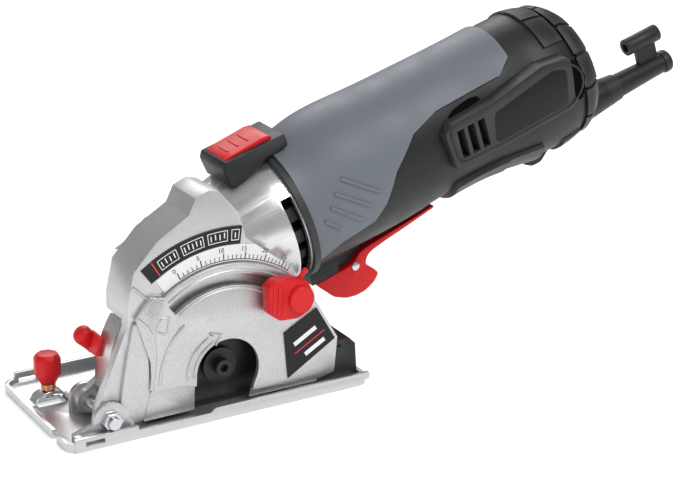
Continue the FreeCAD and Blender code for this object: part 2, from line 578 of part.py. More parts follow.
def make_spindle():
    """Everything that turns with the blade."""
    outer_far = "blade_y - blade_wall / 2"
    inner_near = "blade_y + blade_wall / 2"
    shank = cylinder_y("spindle_front", "blade_bore - run_gap", "spindle_x", "spindle_z",
                       outer_far + " - 1.5", "belt_near_y + 0.3")
    tail = cylinder_y("spindle_tail", "shaft_rad", "spindle_x", "spindle_z", "belt_near_y + 0.3", BEARING_FAR)
    thread = cylinder_y("spindle_thread", "bolt_rad", "spindle_x", "spindle_z", outer_far + " - 5",
                        outer_far + " - outer_flange_wall + bolt_long")
    node(cut("spindle_body", fuse("spindle_solid", shank, tail), thread), "spindle")
    node(cut("inner_flange_body", cylinder_y("inner_disc", "flange_rad", "spindle_x", "spindle_z", inner_near,
                                             inner_near + " + inner_flange_wall"),
             cylinder_y("inner_hole", "blade_bore - run_gap", "spindle_x", "spindle_z", inner_near + " - 1",
                        inner_near + " + 5")), "inner_flange")
    blade = disc_body("blade_body", "blade_rad", "blade_wall", "blade_bore - run_gap")
    tooth = [("blade_rad - tooth_deep", "-0.4"), ("blade_rad + 1", "0.6"), ("blade_rad + 1", "5.6"),
             ("blade_rad - 0.3", "5.2"), ("blade_rad - tooth_deep - 0.2", "1.2")]
    notch(blade, tooth, "blade_teeth", "blade_tooth")
    node(near_from(blade, "spindle_x", inner_near, "spindle_z"), "saw_blade")
    flange_near = outer_far + " - outer_flange_wall"
    disc = cylinder_y("outer_disc", "flange_rad", "spindle_x", "spindle_z", flange_near, outer_far)
    socket = cylinder_y("outer_socket", "blade_bore - run_gap", "spindle_x", "spindle_z", outer_far + " - 1.5",
                        outer_far + " + 1")
    hole = cylinder_y("outer_hole", "bolt_rad", "spindle_x", "spindle_z", flange_near + " - 1",
                      outer_far + " + 1")
    node(cut("outer_flange_body", disc, socket, hole), "outer_flange")
    shaft = cylinder_y("bolt_shaft", "bolt_rad", "spindle_x", "spindle_z", flange_near,
                       flange_near + " + bolt_long")
    head = cylinder_y("bolt_head", "bolt_head_rad", "spindle_x", "spindle_z",
                      flange_near + " - bolt_head_high", flange_near)
    key = doc.addObject("Part::Prism", "bolt_key")
    key.Polygon = 6
    bind(key, "Circumradius", "hex_key / 2 / cos(30)")
    bind(key, "Height", "bolt_head_high")
    place(key, "spindle_x", flange_near + " - 2", "spindle_z", ROUND_NEAR)
    node(cut("bolt", fuse("bolt_solid", shaft, head), key), "blade_bolt")


def pulley(name, x, z, label):
    """A flat belt pulley with two low flanges, bored for its shaft."""
    drum = cylinder_y(name + "_drum", "pulley_rad", x, z, BELT_NEAR, BELT_FAR)
    hole = cylinder_y(name + "_hole", "shaft_rad", x, z, BELT_NEAR + " - 1", BELT_FAR + " + 1")
    node(cut(name, drum, hole), label)


def make_drive():
    """The jackshaft with its pulley and bevel gear, and the belt to the spindle."""
    pulley("high_pulley", "foot_x", "foot_z", "drive_pulley")
    pulley("low_pulley", "spindle_x", "spindle_z", "spindle_pulley")
    node(cut("belt", racetrack("belt_outer", "pulley_rad + belt_gap + belt_wall", BELT_NEAR, BELT_FAR),
             racetrack("belt_inner", "pulley_rad + belt_gap", "belt_near_y - 1", "head_far_y + 1")),
         "drive_belt")
    node(cylinder_y("jack", "shaft_rad", "foot_x", "foot_z", BELT_NEAR, "jack_seat_y + bearing_wall"), "jackshaft")
    pitch = "pinion_rad / gear_rad"
    rim_near = "motor_y - pinion_rad - mesh_gap"
    disc = cylinder_y("gear_disc", "gear_rad", "foot_x", "foot_z", rim_near + " - 1.2", rim_near)
    face = doc.addObject("Part::Cone", "gear_face")
    bind(face, "Radius1", "gear_rad")
    bind(face, "Radius2", "gear_rad / 2")
    bind(face, "Height", "gear_rad / 2 * %s" % pitch)
    place(face, "foot_x", rim_near, "foot_z", "rotation(vector(1; 0; 0); -90)")
    bore = cylinder_y("gear_bore", "shaft_rad", "foot_x", "foot_z", "-20", "20")
    node(cut("gear_body", fuse("gear_blank", disc, face), bore), "bevel_gear")


def make_bearings():
    """The five ball bearings, shown as plain rings."""
    seats = (("near", "spindle_x", "spindle_z", "chamber_far_y", "belt_near_y", "blade_bore - run_gap"),
             ("far", "spindle_x", "spindle_z", "head_far_y", BEARING_FAR, "shaft_rad"))
    rings = [ring_y("spindle_ring_" + tag, "bearing_rad", bore, x, z, near, far)
             for tag, x, z, near, far, bore in seats]
    node(group("spindle_ring_set", *rings), "spindle_bearings")
    jack = [ring_y("jack_ring_near", "bearing_rad", "shaft_rad", "foot_x", "foot_z", "head_far_y", BEARING_FAR),
            ring_y("jack_ring_far", "bearing_rad", "shaft_rad", "foot_x", "foot_z", "jack_seat_y", "jack_seat_y + bearing_wall")]
    node(group("jack_ring_set", *jack), "jackshaft_bearings")
    armature = [tube("armature_ring_front", "bearing_rad", "shaft_rad", "0", "0", "front_seat", "front_seat + bearing_wall",
                     True),
                tube("armature_ring_rear", "bearing_rad", "shaft_rad", "0", "0",
                     "armature_end - 2 - bearing_wall", "armature_end - 2", True)]
    node(group("armature_ring_set", *armature), "armature_bearings")


# ---------------------------------------------------------------- motor
BODY = [("collar_end", "37.5", "body_half_wide", "1.5"), ("90", "39", "body_half_wide + 1", "2.5"),
        ("128", "39.5", "body_half_wide + 1", "3"), ("160", "38", "body_half_wide + 0.5", "4"),
        ("190", "38.5", "body_half_wide + 0.5", "3.5"), ("215", "41", "body_half_wide + 2", "1.5"),
        ("235", "40.5", "body_half_wide + 2", "0.5"), ("250", "34.5", "body_half_wide - 2", "0"),
        ("258.5", "24.5", "body_half_wide - 13", "0"), ("body_end", "11", "10", "0")]
POD_FACE = "body_half_wide + 3.6"


def motor_points(points):
    """Turns (along, up) pairs into the X-Z pairs of a plate in the motor's frame."""
    return [("-(%s)" % up, along) for along, up in points]


def make_motor_shell(gear_outside, vent_ring):
    """The two clam shells, the soft grip, the rear bumper, the pods and the collar."""
    outside = loft("body_outside", BODY, "0")
    inside = loft("body_inside", BODY[:-1], "body_wall")
    under_skin = loft("body_under_skin", BODY, "skin")
    grip_area = plate("grip_area", motor_points([
        ("collar_end - 1", "60"), ("collar_end - 1", "-22"), ("84", "-16"), ("104", "-13"), ("112", "-6"),
        ("122", "8"), ("139", "21"), ("156", "25.5"), ("198", "26.5"), ("208", "32"), ("211", "60")]),
        "-60", "60", True)
    node(common("grip_skin", cut("grip_layer", outside, under_skin), grip_area), "soft_grip")
    bumper_area = box("bumper_area", ("-60", "60"), ("-60", "60"), ("bumper_start", "body_end + 1"), True)
    node(common("bumper_skin", cut("bumper_layer", outside, under_skin), bumper_area), "rear_bumper")
    bulge = plate("trigger_bulge", motor_points([("collar_end", "-28"), ("collar_end", "-43.5"),
                                                 ("86", "-43.5"), ("92", "-30")]), "-10", "10", True)
    lug = plate("trigger_lug", motor_points([("88", "-32"), ("90", "-50"), ("104", "-50"), ("106", "-32")]),
                "-5", "5", True)
    trigger_way = box("trigger_way", ("29.5", "56"), ("-trigger_half - 0.6", "trigger_half + 0.6"),
                      ("98.5", "157"), True)
    side_box = box("trigger_side_box", ("38.5", "56"), ("-trigger_half - 0.6", "trigger_half + 0.6"),
                   ("86.5", "99"), True)
    pin_way = cylinder_y("trigger_pin_way", "trigger_pin", "-(trigger_n)", "trigger_t", "-20", "20",
                         motor=True)
    vents = []
    for index in range(3):
        low = "side_vent_start + %d * side_vent_step" % index
        vents.append(box("side_vent_%d" % index, ("-14", "2"), ("-60", "60"), (low, low + " + side_vent_wide"),
                         True))
    rear_vent = box("rear_vent", ("-14", "5"), ("-60", "60"), ("rear_vent_start", "rear_vent_start + 3.8"),
                    True)
    slotted = cut("body_slotted", under_skin, trigger_way, side_box)
    with_lug = cut("body_with_lug", fuse("body_lug_fuse", slotted, bulge, lug), inside, pin_way, *vents,
                   rear_vent)
    for side, low, high in (("left", "-80", "0"), ("right", "0", "80")):
        half = box("half_" + side, ("-90", "90"), (low, high), ("collar_end - 5", "body_end + 30"), True)
        node(common("shell_" + side, with_lug, half), "motor_housing_" + side)
    pod_outline = motor_points([("153", "15"), ("155", "-6"), ("186", "-7"), ("231", "-6"), ("242", "2"),
                                ("243", "13"), ("234", "23"), ("218", "25"), ("186", "20"), ("158", "19")])
    for side, low, high in (("left", "-(%s)" % POD_FACE, "-10"), ("right", "10", POD_FACE)):
        block = plate("pod_" + side, pod_outline, low, high, True)
        node(cut("pod_%s_cut" % side, block, under_skin, *vents, rear_vent), "side_pod_" + side)
    node(tube("collar", "collar_rad", "cone_large - 1", "0", "0", "vent_end", "collar_end", True), "collar_ring")
    base = box("switch_block", ("-switch_high", "-switch_low"), ("-switch_half", "switch_half"),
               ("switch_start", "switch_end"), True)
    slider_way = box("slider_way", ("-switch_high - 1", "-switch_high + 1.6"),
                     ("-slider_half - 0.4", "slider_half + 0.4"),
                     ("switch_start + 3.5", "switch_end - 2"), True)
    ring = cylinder("switch_ring_cut", "collar_rad", "0", "0", "vent_end", "collar_end", True)
    node(cut("switch_shell", base, slider_way, gear_outside, vent_ring, ring, outside), "switch_base")
    slider = box("slider_plate", ("-switch_high - slider_rise + 1.9", "-switch_high + 1.3"),
                 ("-slider_half", "slider_half"), ("switch_start + 3.9", "switch_end - 2.4 - slider_travel"),
                 True)
    crown = box("slider_crown", ("-switch_high - slider_rise", "-switch_high"),
                ("-slider_half + 1.5", "slider_half - 1.5"),
                ("switch_start + 5.5", "switch_end - 4 - slider_travel"), True)
    node(fuse("slider_body", slider, crown), "lock_slider")
    pin = cylinder_y("trigger_pin_shaft", "trigger_pin", "-(trigger_n)", "trigger_t", "-trigger_half",
                     "trigger_half", motor=True)
    node(pin, "trigger_pin")
    return outside


def make_trigger():
    """The red paddle under the grip, forked round the housing's lug."""
    shape = plate("paddle", motor_points([
        ("71", "-44.2"), ("74", "-50"), ("84", "-57"), ("95", "-61"), ("104", "-59"), ("109", "-53"),
        ("104", "-50"), ("105", "-45"), ("114", "-41.5"), ("130", "-39.8"), ("152", "-37.2"),
        ("152", "-35.2"), ("130", "-37.2"), ("112", "-38"), ("100", "-40"), ("87", "-44.2")]),
        "-trigger_half", "trigger_half", True)
    fork = box("paddle_fork", ("30", "53"), ("-5.4", "5.4"), ("86", "110"), True)
    bore = cylinder_y("paddle_bore", "trigger_pin + run_gap", "-(trigger_n)", "trigger_t", "-20", "20",
                      motor=True)
    node(cut("paddle_body", shape, fork, bore), "trigger_paddle")


def make_cable_end():
    """The cable gland and the clip above it that holds the hex key."""
    root = "body_end - 24"
    gland = fuse("gland_solid",
                 cone("gland_root", "gland_rad + 4", "gland_rad", "gland_drop", "0", root, "body_end + 18", True),
                 cone("gland_tail", "gland_rad - 1", "gland_rad - 2.6", "gland_drop", "0", "body_end + 18",
                      "gland_end", True))
    bore = cylinder("gland_bore_cut", "gland_bore", "gland_drop", "0", "gland_end - 30", "gland_end + 1", True)
    node(cut("gland", gland, bore, doc.getObject("body_outside")), "cable_gland")
    top = "gland_drop - gland_rad - 11"
    holder = cylinder("holder_tube", "key_bore + key_wall", top, "0", "gland_end - 26", "gland_end - 4", True)
    web = box("holder_web", (top, "gland_drop"), ("-1.6", "1.6"), ("gland_end - 20", "gland_end - 7"), True)
    hole = cylinder("holder_bore", "key_bore", top, "0", "gland_end - 30", "gland_end", True)
    gland_space = cone("holder_gland_cut", "gland_rad - 1", "gland_rad - 2.6", "gland_drop", "0",
                       "body_end + 18", "gland_end", True)
    node(cut("holder", fuse("holder_solid", holder, web), hole, gland_space), "key_holder")


def make_motor_inside():
    """The field, armature, commutator, fan, brushes and the electrical switch."""
    core = tube("field_tube", "field_rad", "field_bore", "0", "0", "field_start", "field_end", True)
    node(core, "field_core")
    rings = [tube("field_coil_front", "field_rad - 2", "field_bore + 1", "0", "0", "field_start - 6",
                  "field_start", True),
             tube("field_coil_rear", "field_rad - 2", "field_bore + 1", "0", "0", "field_end", "field_end + 6",
                  True)]
    node(group("field_coil_set", *rings), "field_windings")
    node(cylinder("armature_rod", "shaft_rad", "0", "0", "gear_rad", "armature_end", True), "armature_shaft")
    node(cone("pinion_blank", "pinion_rad * 0.55", "pinion_rad", "0", "0", "gear_rad * 0.55", "gear_rad", True),
         "bevel_pinion")
    node(tube("core_stack", "core_rad", "shaft_rad", "0", "0", "field_start + 1", "field_end - 1", True),
         "armature_core")
    node(tube("commutator_ring", "11", "shaft_rad", "0", "0", "field_end + 12", "field_end + 26", True),
         "commutator")
    fan = disc_body("fan_body", "fan_rad", "fan_wall", "shaft_rad")
    gap = [("11", "-1.6"), ("fan_rad + 2", "-3.4"), ("fan_rad + 2", "2.4"), ("11", "0.9")]
    notch(fan, gap, "15", "fan_gap")
    node(place(fan, "0", "0", "fan_start", UPRIGHT, True), "cooling_fan")
    holders = []
    brushes = []
    for side in (-1, 1):
        outer = ("11.4", "26") if side > 0 else ("-26", "-11.4")
        holder = box("brush_box_%d" % (side + 1), ("-5.5", "5.5"), outer, ("field_end + 13", "field_end + 25"),
                     True)
        inner = ("11.1", "24") if side > 0 else ("-24", "-11.1")
        brush = box("brush_%d" % (side + 1), ("-3.2", "3.2"), inner, ("field_end + 16", "field_end + 22"), True)
        holders.append(cut("brush_tube_%d" % (side + 1), holder, brush))
        brushes.append(brush)
    node(group("brush_box_set", *holders), "brush_holders")
    node(group("brush_set", *brushes), "carbon_brushes")
    node(box("switch_unit", ("-14", "12"), ("-9", "9"), ("armature_end + 14", "armature_end + 48"), True),
         "trigger_switch")


# ---------------------------------------------------------------- controls and fasteners
def make_depth_stop():
    """The clamp that slides in the depth slot: its carriage, pointer and winged knob."""
    angle = "slot_end"
    x = "spindle_x + slot_rad * cos(%s)" % angle
    z = "spindle_z + slot_rad * sin(%s)" % angle
    face = "head_near_y - cover_wall"
    stud = cylinder_y("stop_stud", "stud_rad", x, z, face + " - 10", "head_near_y + touch_gap + 1.8")
    foot = cylinder_y("stop_foot", "slot_wide / 2 + 1.6", x, z, "head_near_y + touch_gap",
                      "head_near_y + touch_gap + 1.8")
    pointer = doc.addObject("Part::Box", "stop_pointer")
    bind(pointer, "Length", "scale_out - slot_rad - 1.5")
    bind(pointer, "Width", "1.5")
    bind(pointer, "Height", "2.6")
    bind(pointer, "Placement", "placement(vector(%s; %s; %s); rotation(vector(0; -1; 0); %s))"
         " * placement(vector(0; 0; -1.3); %s)" % (x, face + " - 2.6", z, angle, UPRIGHT))
    collar = cylinder_y("stop_collar", "6.2", x, z, face + " - 2.6", face + " - 1.1")
    node(fuse("stop_solid", stud, foot, pointer, collar), "depth_carriage")
    knob_far = face + " - 2.9"
    hub = disc_body("knob_hub", "knob_rad", "knob_high", "stud_rad + run_gap")
    near_from(hub, x, knob_far, z)
    wing = plate("knob_wing", [("-14", "-3"), ("-14.5", "4"), ("-6", "6.5"), ("8", "5.5"), ("10", "2"),
                               ("10", "-3"), ("6", "-5.5"), ("-9", "-6.5")], "0", "knob_high - 3")
    bind(wing, "Placement", "placement(vector(%s; %s; %s); rotation(vector(0; 1; 0); 0))"
         % (x, "%s - (knob_high - 3)" % knob_far, z))
    bore = cylinder_y("knob_bore", "stud_rad + run_gap", x, z, face + " - 20", face)
    node(cut("knob_body", fuse("knob_solid", hub, wing), bore), "depth_knob")


def make_front_guard():
    """The curved steel strip in front of the blade and its lifting lever."""
    node(ring_y("guard_strip", "guard_out", "guard_in", "spindle_x", "spindle_z", "guard_near_y", "guard_far_y",
                "147", "41.5"), "front_guard")
    tab = ring_y("lever_tab_ring", "guard_out + lever_tab", "guard_out", "spindle_x", "spindle_z", "guard_far_y - 4",
                 "head_far_y + 0.4", "159", "9")
    lobe = ring_y("lever_lobe", "guard_out + 8", "guard_out", "spindle_x", "spindle_z", "head_far_y + 0.4",
                  "3", "157", "13")
    node(fuse("lever_body", tab, lobe), "guard_lever")


def make_lock_button():
    """The sprung button that holds the gear while the blade bolt is turned."""
    plunger = cylinder_x("button_plunger", "plunger_rad", "-lock_top", "-gear_rad - 3.4", LOCK_Y, "0", True)
    cap = cylinder_x("button_cap", "button_rad", "-lock_top - 3", "-lock_top", LOCK_Y, "0", True)
    node(fuse("button_body", plunger, cap), "spindle_lock_button")


def make_screws():
    """The screws of the cover and of the gear housing, each kind kept as one set."""
    cover = []
    for index, turn in enumerate(("152", "24", "-14")):
        x = "spindle_x + cover_screw_circle * cos(%s)" % turn
        z = "spindle_z + cover_screw_circle * sin(%s)" % turn
        cover.append(cylinder_y("cover_screw_%d" % index, "2.6", x, z, "head_far_y", "head_far_y + 1.4"))
    node(group("cover_screw_set", *cover), "cover_screws")
    flange = []
    for index in range(2):
        turn = "60 + 60 * %d" % index
        x = "(cone_large + 0.6) * cos(%s)" % turn
        y = "(cone_large + 0.6) * sin(%s)" % turn
        flange.append(cylinder("flange_screw_%d" % index, "2.2", x, y, "cone_end - 4", "cone_end - 0.2", True))
    shells = cut("flange_screw_cut", fuse("flange_screw_all", *flange), doc.getObject("gear_outside"))
    node(shells, "flange_screws")
    body = []
    for index, (along, up) in enumerate((("196", "-22"), ("230", "-20"), ("140", "-24"))):
        body.append(cylinder_y("shell_screw_%d" % index, "2.8", "-(%s)" % up, along, "20", "34",
                               motor=True))
    node(cut("shell_screw_cut", fuse("shell_screw_all", *body), doc.getObject("body_under_skin")),
         "housing_screws")


make_base_plate()
make_axle()
make_guide_clamp()
make_dust_outlet()
head_block = make_guard_housing()
make_guard_cover()
make_labels()
bearing_block = make_bearing_plate()
make_gear_housing(head_block, bearing_block)
make_spindle()
make_drive()
make_bearings()
make_motor_shell(doc.getObject("gear_outside"), doc.getObject("vent_ring"))
make_trigger()
make_cable_end()
make_motor_inside()
make_depth_stop()
make_front_guard()
make_lock_button()
make_screws()

# ---------------------------------------------------------------- check and export
doc.recompute()
for piece in doc.Objects:
    if "Invalid" in piece.State or "Error" in piece.State:
        raise RuntimeError("%s did not recompute: %s" % (piece.Name, piece.State))
faulty = [piece.Label for piece in nodes
          if piece.Shape.isNull() or not piece.Shape.isValid() or piece.Shape.Volume <= 0]
if faulty:
    raise RuntimeError("no valid shape: " + ", ".join(faulty))
os.makedirs("parts", exist_ok=True)
for piece in nodes:
    piece.Shape.exportStep("parts/%s.step" % piece.Label)
print("%d nodes written" % len(nodes))
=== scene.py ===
"""Looks of a mini plunge circular saw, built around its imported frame. All sizes are metres."""
import json
import logging
import math
from collections.abc import Sequence
from dataclasses import dataclass, field
from enum import Enum

import bmesh
import bpy
from mathutils import Matrix, Vector
from mathutils.bvhtree import BVHTree


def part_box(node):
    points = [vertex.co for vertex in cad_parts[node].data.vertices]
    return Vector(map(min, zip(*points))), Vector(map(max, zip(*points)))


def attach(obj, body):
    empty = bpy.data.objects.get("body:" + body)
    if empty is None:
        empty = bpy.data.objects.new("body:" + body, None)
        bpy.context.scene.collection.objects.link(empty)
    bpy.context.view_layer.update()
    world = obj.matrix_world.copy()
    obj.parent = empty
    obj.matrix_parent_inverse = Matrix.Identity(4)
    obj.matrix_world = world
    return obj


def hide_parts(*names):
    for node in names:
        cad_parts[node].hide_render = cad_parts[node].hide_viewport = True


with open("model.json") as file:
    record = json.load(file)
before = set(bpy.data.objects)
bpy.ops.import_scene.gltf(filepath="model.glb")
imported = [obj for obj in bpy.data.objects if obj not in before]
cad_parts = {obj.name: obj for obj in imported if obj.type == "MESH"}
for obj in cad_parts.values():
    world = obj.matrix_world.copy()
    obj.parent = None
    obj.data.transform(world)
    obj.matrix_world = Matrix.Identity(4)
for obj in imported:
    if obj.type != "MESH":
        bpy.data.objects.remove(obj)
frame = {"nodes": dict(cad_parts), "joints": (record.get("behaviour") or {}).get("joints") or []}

logging.basicConfig(level=logging.INFO, format="%(message)s")
LOG = logging.getLogger("saw")
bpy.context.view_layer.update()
MM = 0.001
SIDES = ((-1, "left"), (1, "right"))  # the sign of Y and the word in the names of paired pieces
CRISP = 35.0  # smoothing angle of moulded pieces, in degrees
Outline = Sequence[tuple[float, float]]
Colour = tuple[float, float, float]
Point = tuple[float, float, float]
Socket = bpy.types.NodeSocket
Mesh = bmesh.types.BMesh


class Part(str, Enum):
    """The moving bodies that pieces ride on."""

    BASE = "base"
    HEAD = "head"
    CLAMP_KNOB = "clamp_knob"
    DEPTH_STOP = "depth_stop"
    DEPTH_KNOB = "depth_knob"
    FRONT_GUARD = "front_guard"
    TRIGGER = "trigger"
    SLIDER = "slider"


# ---------------------------------------------------------------- places read from the frame
def joint_named(name: str) -> dict:
    """Finds one joint of the frame.

    Args:
        name: The joint's name.

    Returns:
        The joint's own record.
    """
    return next(entry for entry in frame["joints"] if entry["name"] == name)


@dataclass(frozen=True)
class Places:
    """Centres and directions that the looks share, taken from the joints."""

    spindle: Vector = field(default_factory=lambda: Vector(joint_named("spindle_turn")["pos_m"]))
    foot: Vector = field(default_factory=lambda: Vector(joint_named("jackshaft_turn")["pos_m"]))
    motor: Vector = field(default_factory=lambda: Vector(joint_named("armature_turn")["pos_m"]))
    along: Vector = field(default_factory=lambda: Vector(joint_named("armature_turn")["axis"]).normalized())

    def motor_matrix(self) -> Matrix:
        """The motor's frame: x along the armature from the jackshaft, y to the far side, z up.

        Returns:
            The matrix from the motor's frame to the row's.
        """
        up = self.along.cross(Vector((0.0, 1.0, 0.0))).normalized()
        start = Vector((self.foot.x, self.motor.y, self.foot.z))
        columns = (self.along, Vector((0.0, 1.0, 0.0)), up)
        turn = Matrix([[column[row] for column in columns] for row in range(3)]).to_4x4()
        return Matrix.Translation(start) @ turn

    def on_motor(self, along: float, side: float, up: float) -> Vector:
        """A row point from a place in the motor's frame, in millimetres."""
        return self.motor_matrix() @ (Vector((along, side, up)) * MM)

    def around(self, radius: float, degrees: float, y: float) -> Vector:
        """A row point on a circle about the spindle.

        Args:
            radius: The circle's radius in millimetres.
            degrees: The angle from the cable end, upwards.
            y: The point's Y in millimetres.

        Returns:
            The point in metres.
        """
        angle = math.radians(degrees)
        return Vector((self.spindle.x + radius * MM * math.cos(angle), y * MM,
                       self.spindle.z + radius * MM * math.sin(angle)))


PLACES = Places()


# ---------------------------------------------------------------- finishes
class Recipe:
    """Writes the nodes of one procedural material on Object coordinates."""

    def __init__(self, name: str) -> None:
        """Starts a material with a principled surface.

        Args:
            name: The material's name.
        """
        self.material = bpy.data.materials.new(name)
        self.material.use_nodes = True
        self.tree = self.material.node_tree
        self.surface = self.tree.nodes["Principled BSDF"]
        self.coordinates = self.add("ShaderNodeTexCoord").outputs["Object"]

    def add(self, kind: str) -> bpy.types.Node:
        """Adds one node of the given kind."""
        return self.tree.nodes.new(kind)

    def link(self, source: Socket, target: Socket) -> None:
        """Joins two sockets."""
        self.tree.links.new(source, target)

    def noise(self, scale: float, detail: float, rough: float = 0.5) -> Socket:
        """A noise pattern.

        Args:
            scale: Cells per metre.
            detail: Octaves.
            rough: How strong the finer octaves are.

        Returns:
            The pattern's value.
        """
        node = self.add("ShaderNodeTexNoise")
        node.inputs["Scale"].default_value = scale
        node.inputs["Detail"].default_value = detail
        node.inputs["Roughness"].default_value = rough
        self.link(self.coordinates, node.inputs["Vector"])
        return node.outputs["Fac"]

    def ramp(self, value: Socket, stops: list[tuple[float, Colour]]) -> Socket:
        """Turns a value into colours.

        Args:
            value: The pattern.
            stops: Values, each with its colour.

        Returns:
            The colour.
        """
        node = self.add("ShaderNodeValToRGB")
        elements = node.color_ramp.elements
        for index, (position, colour) in enumerate(stops):
            stop = elements[index] if index < len(elements) else elements.new(position)
            stop.position = position
            stop.color = (*colour, 1.0)
        self.link(value, node.inputs["Fac"])
        return node.outputs["Color"]

    def spread(self, value: Socket, low: float, high: float) -> Socket:
        """Maps a pattern of 0.3 to 0.7 onto another span.

        Args:
            value: The pattern.
            low: What 0.3 becomes.
            high: What 0.7 becomes.

        Returns:
            The mapped value.
        """
        node = self.add("ShaderNodeMapRange")
        node.inputs["From Min"].default_value = 0.3
        node.inputs["From Max"].default_value = 0.7
        node.inputs["To Min"].default_value = low
        node.inputs["To Max"].default_value = high
        self.link(value, node.inputs["Value"])
        return node.outputs["Result"]

    def bump(self, value: Socket, distance: float, strength: float) -> None:
        """Raises the surface by a pattern.

        Args:
            value: The pattern.
            distance: Its full height in metres.
            strength: How much of it shows.
        """
        node = self.add("ShaderNodeBump")
        node.inputs["Distance"].default_value = distance
        node.inputs["Strength"].default_value = strength
        self.link(value, node.inputs["Height"])
        self.link(node.outputs["Normal"], self.surface.inputs["Normal"])

    def edge_wear(self) -> Socket:
        """How convex the surface is, for a lighter colour on convex edges."""
        return self.add("ShaderNodeNewGeometry").outputs["Pointiness"]

    def blend(self, factor: Socket, first: Socket,
              second: Colour) -> Socket:
        """Mixes a colour socket with a plain colour.

        Args:
            factor: How much of the plain colour shows.
            first: The colour socket.
            second: The plain colour.

        Returns:
            The mixed colour.
        """
        node = self.add("ShaderNodeMix")
        node.data_type = "RGBA"
        self.link(factor, node.inputs[0])
        self.link(first, node.inputs[6])
        node.inputs[7].default_value = (*second, 1.0)
        return node.outputs[2]


def shade(colour: Colour, factor: float) -> Colour:
    """A colour made lighter or darker."""
    return tuple(min(1.0, channel * factor) for channel in colour)


@dataclass(frozen=True)
class Finish:
    """A surface with mottled colour, uneven gloss and a fine relief.

    Attributes:
        name: The material's name.
        colour: Its mean colour.
        metallic: How metallic it is.
        roughness: Its least and greatest roughness.
        contrast: How far the mottling goes from the mean colour.
        grain: Grains per metre.
        relief: Height of the grain in metres.
        strength: How much of the relief shows.
        wear: The lighter colour laid on convex edges.
        specular: Its specular level.
        coat: The weight of its clear coat.
    """

    name: str
    colour: Colour
    metallic: float = 0.0
    roughness: tuple[float, float] = (0.4, 0.5)
    contrast: float = 0.12
    grain: float = 1500.0
    relief: float = 0.00004
    strength: float = 0.3
    wear: Colour | None = None
    specular: float = 0.5
    coat: float = 0.0

    def build(self) -> bpy.types.Material:
        """Makes the material.

        Returns:
            The new material.
        """
        recipe = Recipe(self.name)
        surface = recipe.surface
        surface.inputs["Metallic"].default_value = self.metallic
        surface.inputs["Specular IOR Level"].default_value = self.specular
        surface.inputs["Coat Weight"].default_value = self.coat
        broad = recipe.noise(self.grain / 40.0, 3.0)
        fine = recipe.noise(self.grain, 2.0, 0.6)
        tone = recipe.ramp(fine, [(0.3, shade(self.colour, 1.0 - self.contrast)),
                                  (0.7, shade(self.colour, 1.0 + self.contrast))])
        if self.wear is not None:
            edge = recipe.ramp(recipe.edge_wear(), [(0.53, (0.0, 0.0, 0.0)), (0.62, (1.0, 1.0, 1.0))])
            tone = recipe.blend(edge, tone, self.wear)
        recipe.link(tone, surface.inputs["Base Color"])
        recipe.link(recipe.spread(broad, *self.roughness), surface.inputs["Roughness"])
        recipe.bump(fine, self.relief, self.strength)
        return recipe.material


CAST = Finish("cast_aluminium", (0.57, 0.575, 0.58), 0.85, (0.34, 0.44), 0.2, 2600.0, 0.00007, 0.4)
# Cast aluminium made lighter as painted highlight for the gear head's cone; its lower roughness is real
# gloss.
LIT_CAST = Finish("cast_aluminium_painted_highlight", (0.68, 0.68, 0.685), 0.92, (0.24, 0.34), 0.1, 2200.0, 0.00004,
                     0.25)
ZINC = Finish("zinc_steel", (0.62, 0.63, 0.65), 1.0, (0.2, 0.32), 0.08, 1800.0, 0.00002, 0.2)
STRIP = Finish("spring_strip", (0.60, 0.59, 0.57), 1.0, (0.2, 0.34), 0.1, 900.0, 0.00002, 0.2)
DARK_STEEL = Finish("black_oxide", (0.028, 0.029, 0.031), 0.55, (0.28, 0.42), 0.2, 1600.0, 0.00003, 0.25)
RED = Finish("red_moulding", (0.62, 0.005, 0.008), 0.0, (0.34, 0.44), 0.06, 1400.0, 0.00002, 0.2,
             (0.7, 0.025, 0.03), 0.3)
BLACK = Finish("black_moulding", (0.012, 0.0125, 0.0135), 0.0, (0.42, 0.55), 0.25, 2400.0, 0.00006, 0.4,
               (0.034, 0.035, 0.037), 0.34)
GREY = Finish("grey_overmould", (0.135, 0.152, 0.178), 0.0, (0.48, 0.6), 0.1, 1900.0, 0.00004, 0.3,
              (0.15, 0.165, 0.19), 0.45)
FILM = Finish("label_film", (0.008, 0.008, 0.009), 0.0, (0.25, 0.32), 0.2, 900.0, 0.00001, 0.1,
              (0.012, 0.012, 0.013), 0.25)
# Near-black and rough: painted shade for recesses and slots that are not modelled.
PAINTED_SHADE = Finish("painted_recess_shade", (0.002, 0.002, 0.002), 0.0, (0.8, 0.9), 0.1, 900.0, 0.00001, 0.1,
              (0.003, 0.003, 0.003), 0.05)
SILVER_FILM = Finish("scale_film", (0.76, 0.765, 0.77), 0.25, (0.38, 0.46), 0.05, 1500.0, 0.00001, 0.15)
INK_WHITE = Finish("white_ink", (0.82, 0.82, 0.82), 0.0, (0.4, 0.5), 0.04, 1500.0, 0.00001, 0.1)
INK_BLACK = Finish("black_ink", (0.02, 0.02, 0.02), 0.0, (0.4, 0.5), 0.1, 1500.0, 0.00001, 0.1)
INK_RED = Finish("red_ink", (0.7, 0.02, 0.02), 0.0, (0.4, 0.5), 0.05, 1500.0, 0.00001, 0.1)
COPPER = Finish("copper_coil", (0.72, 0.34, 0.17), 1.0, (0.25, 0.35), 0.15, 1500.0, 0.00003, 0.3)
IRON = Finish("laminated_iron", (0.22, 0.22, 0.23), 0.8, (0.35, 0.5), 0.2, 1200.0, 0.00004, 0.4)
BRASS = Finish("brass_parts", (0.68, 0.5, 0.2), 1.0, (0.25, 0.38), 0.1, 1300.0, 0.00002, 0.2)
BELT = Finish("belt_rubber", (0.018, 0.018, 0.018), 0.0, (0.6, 0.75), 0.2, 1500.0, 0.00005, 0.4)
